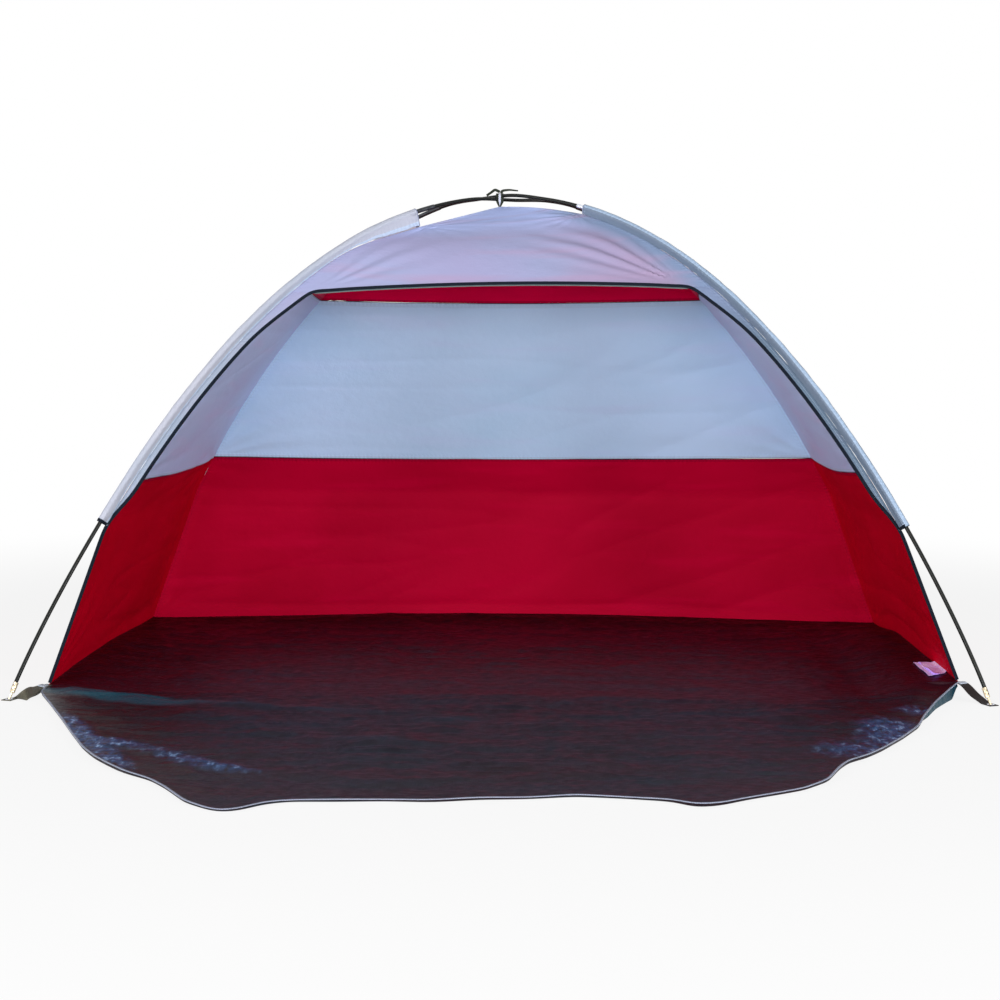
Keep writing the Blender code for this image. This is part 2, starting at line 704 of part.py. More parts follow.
    def eyelet_radius(self, height):
        """The least radius of an upright hole of some height that the leaning pin passes through."""
        up = (self.leg.points[-2] - self.leg.points[-1]).normalized()
        level = math.hypot(up.x, up.y)
        return ((PIN_DIAMETER / 2 + height / 2 * level) / up.z + GAP) / math.cos(math.pi / EYELET_STEPS)

    def pin_centre(self, side, end, height):
        """Where the pin's middle line passes a height."""
        foot, above = self.leg.points[-1], self.leg.points[-2]
        point = foot.lerp(above, height / above.z)
        return Vector((point.x * side, point.y * end, height))

    # Tie and label

    def tie(self):
        """The tape loop that hangs the roof from the poles, with the tails of its knot."""
        upper, lower = POLE_RISE + CROSSING_LIFT, POLE_RISE - CROSSING_LIFT
        clear = (GAP + LOOP_TAPE_RADIUS) / math.cos(math.pi / LOOP_ARC_STEPS / 2)
        over = POLE_RADIUS / math.cos(math.pi / LOOP_ARC_STEPS / 2) + clear
        half = POLE_RADIUS * HALF_SPAN / TIP_X + clear
        low = self.seam.at(self.crown_end()).z + CLOTH / 2 + GAP + LOOP_TAPE_RADIUS
        top = upper + over
        angles = [math.pi * i / LOOP_ARC_STEPS for i in range(LOOP_ARC_STEPS + 1)]
        points = [Vector((0.0, half * math.cos(a), upper + over * math.sin(a))) for a in angles]
        points += [Vector((0.0, -half, lower)), Vector((0.0, -LOOP_FOOT, low)),
                   Vector((0.0, LOOP_FOOT, low)), Vector((0.0, half, lower))]
        loop = solid_mesh(rod("apex_tie", points, LOOP_TAPE_RADIUS, closed=True), self.collection)
        ends = ((-TAIL_LEFT_LENGTH, TAIL_RISE), (-TAIL_LEFT_LENGTH / 2, TAIL_RISE / 2), (0.0, 0.0),
                (TAIL_RIGHT_LENGTH / 3, TAIL_RISE / 2), (TAIL_RIGHT_LENGTH, TAIL_RISE))
        ribbon = line_curve("tie_tails", [Vector((x, 0.0, top + z)) for x, z in ends])
        for slot in ribbon.data.splines[0].points:
            slot.tilt = math.pi / 2
        ribbon.data.extrude = TAIL_HALF_WIDTH
        ribbon.data.bevel_depth = LOOP_TAPE_RADIUS / 2
        ribbon.data.bevel_resolution = THIN_ROUND_STEPS
        ribbon.data.use_fill_caps = True
        tails = solid_mesh(ribbon, self.collection)
        self.add(combine(loop, tails, "UNION", self.cutters), self.white_tape)

    def label(self):
        """The blank label, sewn to the right wall by one long edge."""
        hinge = self.label_hinge()
        half = LABEL_LENGTH / 2
        outline = [Vector((hinge.x, hinge.y - half, 0.0)), Vector((hinge.x, hinge.y + half, 0.0)),
                   Vector((hinge.x - LABEL_WIDTH, hinge.y + half, 0.0)),
                   Vector((hinge.x - LABEL_WIDTH, hinge.y - half - LABEL_SKEW, 0.0))]
        leaf = flat_outline("blank_label", outline, LABEL_THICKNESS, hinge.z)
        self.add(leaf, self.label_cloth, self.label_line)

    def build(self):
        """Make every piece."""
        self.pole("a", LEFT, -CROSSING_LIFT)
        self.pole("b", RIGHT, CROSSING_LIFT)
        corners = (("front_left", LEFT, FRONT), ("front_right", RIGHT, FRONT),
                   ("back_left", LEFT, BACK), ("back_right", RIGHT, BACK))
        for word, side, end in corners:
            self.sleeve(f"sleeve_{word}", side, end)
            self.tab(word, side, end)
        self.walls()
        self.front()
        self.ground()
        self.tie()
        self.label()


def main():
    """Clear the scene and build the shelter."""
    for obj in list(bpy.data.objects):
        bpy.data.objects.remove(obj)
    collection = bpy.data.collections.new(NAME)
    cutters = bpy.data.collections.new("cutters")
    for group in (collection, cutters):
        bpy.context.scene.collection.children.link(group)
    Shelter(collection, cutters).build()


main()
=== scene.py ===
"""Looks of the beach shelter: its sewn cloth, tapes, poles and ground sheet, and the studio round it.

Metres, +Z up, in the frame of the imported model: the origin is the centre of the floor's underside, the open
front faces -Y. Every surface is worked out from the poles' bowed line and from the frame's own boxes.
"""
from __future__ import annotations

import logging
import math
from dataclasses import dataclass, field
from enum import Enum
from typing import Callable, Mapping, Sequence, Union

import bpy
import numpy as np
from mathutils import Matrix, Vector


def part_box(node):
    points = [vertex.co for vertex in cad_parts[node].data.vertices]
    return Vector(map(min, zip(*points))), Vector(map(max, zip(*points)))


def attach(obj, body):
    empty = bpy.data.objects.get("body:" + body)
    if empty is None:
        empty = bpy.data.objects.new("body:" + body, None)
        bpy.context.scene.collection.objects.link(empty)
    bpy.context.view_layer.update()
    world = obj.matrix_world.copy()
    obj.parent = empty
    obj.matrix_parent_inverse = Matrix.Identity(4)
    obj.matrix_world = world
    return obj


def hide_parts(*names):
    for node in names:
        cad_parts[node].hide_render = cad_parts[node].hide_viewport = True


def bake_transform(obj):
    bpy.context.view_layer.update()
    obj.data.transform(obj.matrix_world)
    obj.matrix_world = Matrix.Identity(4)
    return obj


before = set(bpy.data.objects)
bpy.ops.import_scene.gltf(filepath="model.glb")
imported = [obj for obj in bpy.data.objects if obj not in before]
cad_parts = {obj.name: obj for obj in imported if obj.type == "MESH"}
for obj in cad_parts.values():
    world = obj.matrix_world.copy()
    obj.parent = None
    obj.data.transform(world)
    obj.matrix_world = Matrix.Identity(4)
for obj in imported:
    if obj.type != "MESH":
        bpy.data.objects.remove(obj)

LOG = logging.getLogger("shelter")
Grid = np.ndarray
Number = Union[float, np.ndarray]
Colour = tuple[float, float, float]
Place = tuple[float, float, float]
Pair = tuple[float, float]
Piece = bpy.types.Object


class Side(Enum):
    """The two sides of the tent, seen from the open front."""

    LEFT = -1
    RIGHT = 1


class End(Enum):
    """The two ends of the tent along Y."""

    FRONT = -1
    BACK = 1


class Body(str, Enum):
    """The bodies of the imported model."""

    TENT = "tent"
    APRON = "apron"
    LABEL = "label"


class Slot(str, Enum):
    """The record's material slots."""

    ROD = "pole_rod"
    STEEL = "ferrule_steel"
    BRASS = "tip_brass"
    ELASTIC = "elastic_cord"
    SILVER = "silver_cloth"
    RED = "red_cloth"
    GROUND = "floor_sheet"
    BLACK_TAPE = "black_tape"
    HEM_TAPE = "hem_tape"
    WEBBING = "webbing"
    WHITE_TAPE = "white_tape"
    LABEL = "label_cloth"


CORNERS = tuple((side, end) for end in End for side in Side)


def corner_word(side: Side, end: End) -> str:
    """The name of a corner, such as front_left."""
    return f"{end.name}_{side.name}".lower()


def ease(share: Number) -> Number:
    """A share from 0 to 1, eased at both ends."""
    held = np.clip(share, 0.0, 1.0)
    return held * held * (3 - 2 * held)


def linear(colour: Colour) -> tuple[float, float, float, float]:
    """A colour for a shader.

    Args:
        colour: Its red, green and blue as they show on screen, from 0 to 255.

    Returns:
        Linear red, green and blue, with an alpha of 1.
    """
    parts = np.array(colour) / 255
    low, high = parts / 12.92, ((parts + 0.055) / 1.055) ** 2.4
    return (*(float(v) for v in np.where(parts <= 0.04045, low, high)), 1.0)


class Noise:
    """Smooth seeded noise over a plane, from -1 to 1."""

    size = 256

    def __init__(self, seed: int) -> None:
        """Fill the lattice with the seed's own values."""
        self.lattice = np.random.default_rng(seed).uniform(-1, 1, (self.size, self.size))

    def plain(self, x: Grid, y: Grid) -> Grid:
        """One octave of noise at places in lattice units.

        Args:
            x: First coordinate.
            y: Second coordinate.

        Returns:
            The noise there.
        """
        left, low = np.floor(x).astype(int), np.floor(y).astype(int)
        across, up = ease(x - left), ease(y - low)
        n = self.size

        def knot(i: int, j: int) -> Grid:
            """The lattice's value at a corner of each cell."""
            return self.lattice[(left + i) % n, (low + j) % n]

        bottom = knot(0, 0) * (1 - across) + knot(1, 0) * across
        top = knot(0, 1) * (1 - across) + knot(1, 1) * across
        return bottom * (1 - up) + top * up

    def __call__(self, x: Grid, y: Grid, wave: float, octaves: int = 3) -> Grid:
        """Noise of several octaves.

        Args:
            x: First coordinate, in metres.
            y: Second coordinate, in metres.
            wave: The largest wavelength, in metres.
            octaves: How many octaves, each half as long and half as strong.

        Returns:
            The noise, about -1 to 1.
        """
        total = sum(self.plain(x / wave * 2 ** k + 17 * k, y / wave * 2 ** k + 31 * k) / 2 ** k
                    for k in range(octaves))
        return total / (2 - 2 ** (1 - octaves))

    def creases(self, x: Grid, y: Grid, wave: float, sharpness: float = 3.0) -> Grid:
        """Narrow ridges on a calm ground, from 0 to 1, as in a sheet that was folded and crumpled.

        Args:
            x: First coordinate, in metres.
            y: Second coordinate, in metres.
            wave: How far apart the ridges lie.
            sharpness: How narrow they are.

        Returns:
            The ridges' height.
        """
        return (1 - np.abs(self(x, y, wave, 2))) ** sharpness


class Route:
    """A line of points, read by the distance along it."""

    def __init__(self, points: Grid, marks: Grid | None = None) -> None:
        """Keep the points, and measure them unless marks are given.

        Args:
            points: The points, one in each row.
            marks: The distance at each point, where another line's distances count.
        """
        self.points = np.asarray(points, float)
        steps = np.linalg.norm(np.diff(self.points, axis=0), axis=1)
        self.marks = np.concatenate(([0.0], np.cumsum(steps))) if marks is None else marks

    @property
    def length(self) -> float:
        """The distance at the end."""
        return float(self.marks[-1])

    def at(self, distance: Number) -> Grid:
        """The points at distances of any shape, with x, y and z last."""
        parts = [np.interp(distance, self.marks, self.points[:, k]) for k in range(3)]
        return np.stack(parts, axis=-1)

    def direction(self, distance: Number, reach: float = 0.008) -> Grid:
        """The unit directions of travel.

        Args:
            distance: Distances along the line.
            reach: How far before and behind them the line is read.

        Returns:
            The directions.
        """
        ahead = np.minimum(np.asarray(distance) + reach, self.length)
        behind = np.maximum(np.asarray(distance) - reach, 0.0)
        step = self.at(ahead) - self.at(behind)
        return step / np.linalg.norm(step, axis=-1, keepdims=True)

    def stops(self, start: float, end: float, step: float) -> Grid:
        """Even distances from one place to another, about a step apart."""
        return np.linspace(start, end, max(2, math.ceil(abs(end - start) / step) + 1))

    def at_height(self, height: float) -> float:
        """The distance at which a line that only climbs meets a height."""
        return float(np.interp(height, self.points[:, 2], self.marks))


def unit(vectors: Grid) -> Grid:
    """The same vectors with a length of 1."""
    return vectors / np.maximum(np.linalg.norm(vectors, axis=-1, keepdims=True), 1e-12)


def bell(value: Number, middle: Number, reach: float) -> Number:
    """A smooth hump, which is 1 at its middle and gone a few reaches away."""
    return np.exp(-((value - middle) / reach) ** 2)


def travel(path: Grid) -> Grid:
    """The unit directions along a path, one at each of its points."""
    return unit(np.gradient(path, axis=0))


def joined(*parts: Number) -> Grid:
    """Numbers or grids as the parts of one grid of vectors."""
    return np.stack(np.broadcast_arrays(*parts), axis=-1)


@dataclass
class Sheet:
    """A grid of points for a piece of cloth, with the places on the cloth that its finish reads.

    Attributes:
        points: Rows and columns of points.
        place: Rows and columns of metres across and up the cloth.
        edges: Rows and columns of metres from the lower, the upper and the nearest side edge.
        keep: Which cells have cloth, or None for all.
        ring: Whether the last column joins the first.
    """

    points: Grid
    place: Grid
    edges: Grid
    keep: Grid | None = None
    ring: bool = False

    def cells(self) -> Grid:
        """The corners of every cell that has cloth, as point numbers.

        Returns:
            Four point numbers in each row, in order round the cell.
        """
        rows, columns = self.points.shape[:2]
        numbers = np.arange(rows * columns).reshape(rows, columns)
        right = np.roll(numbers, -1, axis=1)
        last = columns if self.ring else columns - 1
        low, low_right = numbers[:-1, :last], right[:-1, :last]
        high, high_right = numbers[1:, :last], right[1:, :last]
        found = np.stack([low, low_right, high_right, high], axis=-1)
        return found[self.keep] if self.keep is not None else found.reshape(-1, 4)

    def crosses(self) -> tuple[Grid, Grid]:
        """The areas of the cells, as vectors.

        Returns:
            The cells, and the cross product of each cell's diagonals.
        """
        cells = self.cells()
        a, b, c, d = (self.points.reshape(-1, 3)[cells[:, k]] for k in range(4))
        return cells, np.cross(c - a, d - b)

    def normals(self) -> Grid:
        """The way that the cloth faces.

        Returns:
            The unit normal at every point, from the cells that meet there.
        """
        cells, crosses = self.crosses()
        total = np.zeros((self.points[..., 0].size, 3))
        for k in range(4):
            np.add.at(total, cells[:, k], crosses)
        return unit(total).reshape(self.points.shape)

    def pushed(self, height: Grid) -> None:
        """Move every point along its normal."""
        self.points = self.points + self.normals() * height[..., None]

    def area(self) -> float:
        """The area of the cloth, in square metres."""
        return float(np.linalg.norm(self.crosses()[1], axis=1).sum() / 2)


def mesh_object(name: str, points: Grid, faces: Sequence[Sequence[int]]) -> Piece:
    """A smooth mesh object in the scene.

    Args:
        name: The object's name.
        points: Its points, one in each row.
        faces: The point numbers of each face.

    Returns:
        The new object.
    """
    mesh = bpy.data.meshes.new(name)
    mesh.from_pydata(points.tolist(), [], faces)
    mesh.validate()
    mesh.shade_smooth()
    made = bpy.data.objects.new(name, mesh)
    bpy.context.scene.collection.objects.link(made)
    return made


def noted(piece: Piece, word: str, vectors: Grid) -> None:
    """Write a vector at each point of a piece, for its finish to read."""
    attribute = piece.data.attributes.new(word, "FLOAT_VECTOR", "POINT")
    attribute.data.foreach_set("vector", vectors.astype(np.float32).ravel())


def sewn(name: str, sheet: Sheet, thickness: float) -> Piece:
    """A sheet as a thin closed solid, its grid in the middle of the thickness.

    Args:
        name: The object's name.
        sheet: The grid of points.
        thickness: How thick the cloth is.

    Returns:
        The new object, with the attributes cloth and edges on its points.
    """
    normals = sheet.normals().reshape(-1, 3) * thickness / 2
    middle = sheet.points.reshape(-1, 3)
    cells = sheet.cells()
    used = np.zeros(len(middle), bool)
    used[cells.ravel()] = True
    cells = (np.cumsum(used) - 1)[cells]
    count = int(used.sum())
    points = np.concatenate([(middle + normals)[used], (middle - normals)[used]])
    borders = {}
    for k in range(4):
        for a, b in zip(cells[:, k].tolist(), cells[:, (k + 1) % 4].tolist()):
            if not borders.pop((b, a), False):
                borders[a, b] = True
    rim = [(b, a, a + count, b + count) for a, b in borders]
    made = mesh_object(name, points, cells.tolist() + (cells[:, ::-1] + count).tolist() + rim)
    for word, values in (("cloth", sheet.place), ("edges", sheet.edges)):
        flat = values.reshape(-1, values.shape[-1])[used]
        noted(made, word, np.tile(np.pad(flat, ((0, 0), (0, 3 - flat.shape[-1]))), (2, 1)))
    made.data.set_sharp_from_angle(angle=math.radians(50))
    return made


def tube(name: str, rings: Grid, closed: bool, sharp: float) -> Piece:
    """A mesh through rings of points.

    Args:
        name: The object's name.
        rings: The rings, one in each row.
        closed: Whether the last ring joins the first, as on a tube with a bore, or both ends are capped.
        sharp: The angle in degrees from which an edge is sharp.

    Returns:
        The new object.
    """
    numbers = np.arange(rings[..., 0].size).reshape(rings.shape[:2])
    low, high = (numbers, np.roll(numbers, -1, axis=0)) if closed else (numbers[:-1], numbers[1:])
    faces = joined(low, np.roll(low, -1, 1), np.roll(high, -1, 1), high).reshape(-1, 4).tolist()
    if not closed:
        faces += [numbers[0, ::-1].tolist(), numbers[-1].tolist()]
    made = mesh_object(name, rings.reshape(-1, 3), faces)
    made.data.set_sharp_from_angle(angle=math.radians(sharp))
    return made


def turned(name: str, route: Route, stations: Sequence[Pair], sides: int,
           closed: bool = False) -> Piece:
    """A round piece along a route, whose radius changes from station to station.

    Args:
        name: The object's name.
        route: Its middle line.
        stations: The distance along the line and the radius of each ring.
        sides: How many points a ring has.
        closed: Whether the last ring joins the first.

    Returns:
        The new object.
    """
    distances, radii = np.array(stations, float).T
    middle, along = route.at(distances), route.direction(distances)
    level = np.where(np.abs(along[:, 2:]) > 0.95, np.array([[1.0, 0.0, 0.0]]), np.array([[0.0, 0.0, 1.0]]))
    across = unit(np.cross(level, along))
    up = np.cross(along, across)
    angles = np.linspace(0, 2 * math.pi, sides, endpoint=False)
    round_it = across[:, None] * np.cos(angles)[None, :, None] + up[:, None] * np.sin(angles)[None, :, None]
    return tube(name, middle[:, None] + round_it * radii[:, None, None], closed, 38)


def ribbon(name: str, middle: Grid, wide: Grid, thick: Grid, size: Pair, sides: int = 12,
           fullness: float = 0.35) -> Piece:
    """A flat tape along points, with a rounded section.

    Args:
        name: The object's name.
        middle: The points of its middle line.
        wide: The unit direction of its width at each point.
        thick: The unit direction of its thickness at each point.
        size: Its width and its thickness.
        sides: How many points its section has.
        fullness: The power of the section's roundness, below 1 for squarer ones.

    Returns:
        The new object, with the attribute cloth on its points.
    """
    angles = np.linspace(0, 2 * math.pi, sides, endpoint=False)
    x, y = (np.sign(turn) * np.abs(turn) ** fullness * reach / 2
            for turn, reach in zip((np.cos(angles), np.sin(angles)), size))
    rings = middle[:, None] + wide[:, None] * x[None, :, None] + thick[:, None] * y[None, :, None]
    made = tube(name, rings, False, 60)
    noted(made, "cloth", joined(x[None], Route(middle).marks[:, None], y[None]))
    return made


class Value:
    """A shader socket that takes part in sums."""

    def __init__(self, board: Board, socket: bpy.types.NodeSocket) -> None:
        """Keep the socket and the board that it is on."""
        self.board = board
        self.socket = socket

    def __add__(self, other: Value | float) -> Value:
        """self + other"""
        return self.board.math("ADD", self, other)

    def __radd__(self, other: float) -> Value:
        """other + self"""
        return self.board.math("ADD", other, self)

    def __sub__(self, other: Value | float) -> Value:
        """self - other"""
        return self.board.math("SUBTRACT", self, other)

    def __rsub__(self, other: float) -> Value:
        """other - self"""
        return self.board.math("SUBTRACT", other, self)

    def __mul__(self, other: Value | float) -> Value:
        """self * other"""
        return self.board.math("MULTIPLY", self, other)

    def __rmul__(self, other: float) -> Value:
        """other * self"""
        return self.board.math("MULTIPLY", other, self)


class Board:
    """The nodes of one material or of the world."""

    def __init__(self, tree: bpy.types.NodeTree) -> None:
        """Start from an empty tree."""
        self.tree = tree
        tree.nodes.clear()

    def node(self, kind: str, settings: Mapping[str, object] | None = None,
             inputs: Mapping[str | int, object] | None = None, output: str | int = 0) -> Value:
        """Add one node.

        Args:
            kind: The node's type.
            settings: Its own settings, which are set first.
            inputs: The values or links of its sockets, by name or number.
            output: The socket to hand back, by name or number.

        Returns:
            The node's output.
        """
        made = self.tree.nodes.new(kind)
        for word, setting in (settings or {}).items():
            setattr(made, word, setting)
        for word, given in (inputs or {}).items():
            if isinstance(given, Value):
                self.tree.links.new(given.socket, made.inputs[word])
            else:
                made.inputs[word].default_value = given
        return Value(self, made.outputs[output] if len(made.outputs) else made.inputs[0])

    def math(self, operation: str, *parts: Value | float) -> Value:
        """A Math node of this operation on the parts."""
        return self.node("ShaderNodeMath", {"operation": operation}, dict(enumerate(parts)))

    def parts(self, vector: Value) -> tuple[Value, ...]:
        """The three parts of a vector."""
        first = self.node("ShaderNodeSeparateXYZ", {}, {0: vector})
        return tuple(Value(self, socket) for socket in first.socket.node.outputs)

    def attribute(self, word: str) -> Value:
        """A vector that the mesh holds at its points."""
        return self.node("ShaderNodeAttribute", {"attribute_name": word}, output="Vector")

    def scaled(self, vector: Value, x: float, y: float, z: float) -> Value:
        """A vector with each part scaled."""
        return self.node("ShaderNodeVectorMath", {"operation": "MULTIPLY"}, {0: vector, 1: (x, y, z)})

    def noise(self, vector: Value, scale: float, detail: float = 2.0, rough: float = 0.5) -> Value:
        """Noise from 0 to 1 at a scale of waves to the metre."""
        return self.node("ShaderNodeTexNoise", {},
                         {"Vector": vector, "Scale": scale, "Detail": detail, "Roughness": rough}, "Fac")

    def weave(self, place: Value, fine: float, coarse: float) -> Value:
        """The threads along and across a cloth, from 0 to 2, in waves to the metre."""
        return self.noise(self.scaled(place, fine, coarse, 1.0), 1.0, 1.0) \
            + self.noise(self.scaled(place, coarse, fine, 1.0), 1.0, 1.0)

    def between(self, value: Value, low: float, high: float, from_level: float = 0.0,
                to_level: float = 1.0) -> Value:
        """A value eased from one level at low to another at high.

        Args:
            value: What is read.
            low: Where the ease starts.
            high: Where it ends.
            from_level: What comes out up to low.
            to_level: What comes out from high on.

        Returns:
            The eased value.
        """
        return self.node("ShaderNodeMapRange", {"interpolation_type": "SMOOTHSTEP", "clamp": True},
                         {"Value": value, "From Min": low, "From Max": high, "To Min": from_level,
                          "To Max": to_level}, "Result")

    def fading(self, value: Value, low: float, high: float) -> Value:
        """A value eased from 1 at low to 0 at high."""
        return self.between(value, low, high, 1.0, 0.0)

    def blend(self, first: Value | Colour, second: Value | Colour, share: Value) -> Value:
        """Two colours mixed by a share, of which a plain one is given as it shows on screen."""
        first, second = (part if isinstance(part, Value) else linear(part) for part in (first, second))
        return self.node("ShaderNodeMix", {"data_type": "RGBA", "clamp_factor": True},
                         {0: share, 6: first, 7: second}, 2)

    def bump(self, height: Value, distance: float, strength: float) -> Value:
        """A normal from a height that is given in shares of a distance."""
        return self.node("ShaderNodeBump", {}, {"Height": height, "Distance": distance, "Strength": strength})

    def principled(self, inputs: Mapping[str, object]) -> None:
        """End the board in a Principled shader.

        Args:
            inputs: The values or links of the shader's sockets.
        """
        shader = self.node("ShaderNodeBsdfPrincipled", {}, inputs)
        self.node("ShaderNodeOutputMaterial", {}, {"Surface": shader})


class Finish:
    """A surface finish, which paints a material board.

    Attributes:
        name: The material's name.
        slot: The record's slot; not used.
    """

    name: str
    slot: Slot

    def paint(self, board: Board) -> None:
        """Draw the finish on a board.

        Args:
            board: The board to draw on.
        """
        raise NotImplementedError

    def material(self) -> bpy.types.Material:
        """The finish as a material, made once.

        Returns:
            The material.
        """
        found = bpy.data.materials.get(self.name)
        if found is None:
            found = bpy.data.materials.new(self.name)
            found.use_nodes = True
            self.paint(Board(found.node_tree))
        return found


@dataclass(frozen=True)
class Taffeta(Finish):
    """Coated taffeta, with puckered seams, a stitch line and felled seam allowances.

    Attributes:
        colour: The cloth's colour on screen.
        shade: The colour that its broad patches drift to.
        blush: The colour of its faint warm streaks.
        felled: The colour of its seam allowances.
        thread: The colour of its stitches.
        fold_shade: The colour of the narrow folded edge at a seam: partly the seam's own darker edge, partly
            painted shade.
        blush_share: How strong the streaks are.
        right: The colour that it turns to at its right end, if any: painted shade.
        crown: The colour that it turns to at its upper end, if any: painted light, lighter and bluer.
        crown_from: How far up that starts.
        flank_shade: The colour that it turns to along its right edge, if any: painted shade.
        roughness: The coating's roughness.
        gloss: How much it mirrors.
        fell_low: How wide the allowance at the lower edge is.
        fell_high: How wide the allowance at the upper edge is.
        fell_step: How wide the step at an allowance's edge is.
        stitch: The length of a stitch with its gap.
        row: How far the stitches run from the seam.
        gather: The length of a pucker.
    """

    name: str
    slot: Slot
    colour: Colour
    shade: Colour
    blush: Colour
    felled: Colour
    thread: Colour
    fold_shade: Colour
    blush_share: float = 0.4
    right: Colour | None = None
    crown: Colour | None = None
    crown_from: float = 1.0
    flank_shade: Colour | None = None
    roughness: float = 0.58
    gloss: float = 0.22
    fell_low: float = 0.010
    fell_high: float = 0.010
    fell_step: float = 0.0008
    stitch: float = 0.0042
    row: float = 0.0077
    gather: float = 0.012

    def paint(self, board: Board) -> None:
        """Draw the cloth.

        Args:
            board: The board to draw on.
        """
        place = board.attribute("cloth")
        across, up, _ = board.parts(place)
        low, high, side = board.parts(board.attribute("edges"))
        drift = board.noise(place, 2.2, 3.0)
        colour = board.blend(self.colour, self.shade, board.between(drift, 0.35, 0.7))
        # Painted light and shade: a darker right end, a lighter, bluer top and a darker band along the right
        # edge.
        if self.right is not None:
            colour = board.blend(colour, self.right, board.between(across, 0.02, 0.42, 0.0, 0.9))
        if self.crown is not None:
            higher = board.between(up, self.crown_from, self.crown_from + 0.24, 0.0, 0.9)
            colour = board.blend(colour, self.crown, higher)
        if self.flank_shade is not None:
            beside = board.fading(side, 0.01, 0.10) * board.between(across, 0.05, 0.22)
            colour = board.blend(colour, self.flank_shade, beside)
        streaks = board.noise(board.scaled(place, 1.5, 9.0, 1.0), 1.4, 3.0)
        colour = board.blend(colour, self.blush, board.between(streaks, 0.5, 0.72, 0.0, self.blush_share))
        nearest = board.math("MINIMUM", low, high)
        fells = [board.fading(away, wide, wide + self.fell_step)
                 for away, wide in ((low, self.fell_low), (high, self.fell_high))]
        allowance = board.math("MAXIMUM", *fells)
        colour = board.blend(colour, self.felled, allowance * 0.55)
        stitch = self.stitches(board, across, nearest) + self.stitches(board, up, side)
        colour = board.blend(colour, self.thread, stitch * 0.8)
        # Painted shade: a narrow darker line at each seam, on top of the seam's own darker edge.
        fold_shade = board.fading(nearest, 0.0012, 0.0034)
        colour = board.blend(colour, self.fold_shade, fold_shade * 0.9)
        ripple = board.noise(place, 26.0, 4.0, 0.6)
        pucker = self.puckers(board, across, nearest) + self.puckers(board, up, side)
        height = ripple * 0.9 + pucker * 0.22 + board.weave(place, 1500.0, 90.0) * 0.05 \
            + allowance * 0.28 + stitch * 0.12
        rough = board.between(drift, 0.2, 0.8, self.roughness - 0.06, self.roughness + 0.08)
        board.principled({"Base Color": colour, "Roughness": rough, "Specular IOR Level": self.gloss,
                          "Normal": board.bump(height, 0.0022, 0.7)})

    def stitches(self, board: Board, along: Value, away: Value) -> Value:
        """A row of stitches, from 0 to 1.

        Args:
            board: The board to draw on.
            along: Metres along the seam.
            away: Metres from the seam.

        Returns:
            Where the thread lies.
        """
        dash = board.between(board.math("SINE", along * (2 * math.pi / self.stitch)), -0.2, 0.2)
        near = board.between(away, self.row - 0.0009, self.row - 0.0003)
        return dash * (near * board.fading(away, self.row + 0.0003, self.row + 0.0009))

    def puckers(self, board: Board, along: Value, away: Value) -> Value:
        """Short gathers across a stitch line, from 0 to 1, which fade away from it.

        Args:
            board: The board to draw on.
            along: Metres along the seam.
            away: Metres from the seam.

        Returns:
            The gathers' height.
        """
        place = board.node("ShaderNodeCombineXYZ", {}, {0: along, 1: away * 3.0})
        wander = board.noise(place, 40.0, 2.0)
        wave = board.math("SINE", along * (2 * math.pi / self.gather) + wander * 9.0)
        return wave * board.fading(away, 0.004, 0.026)


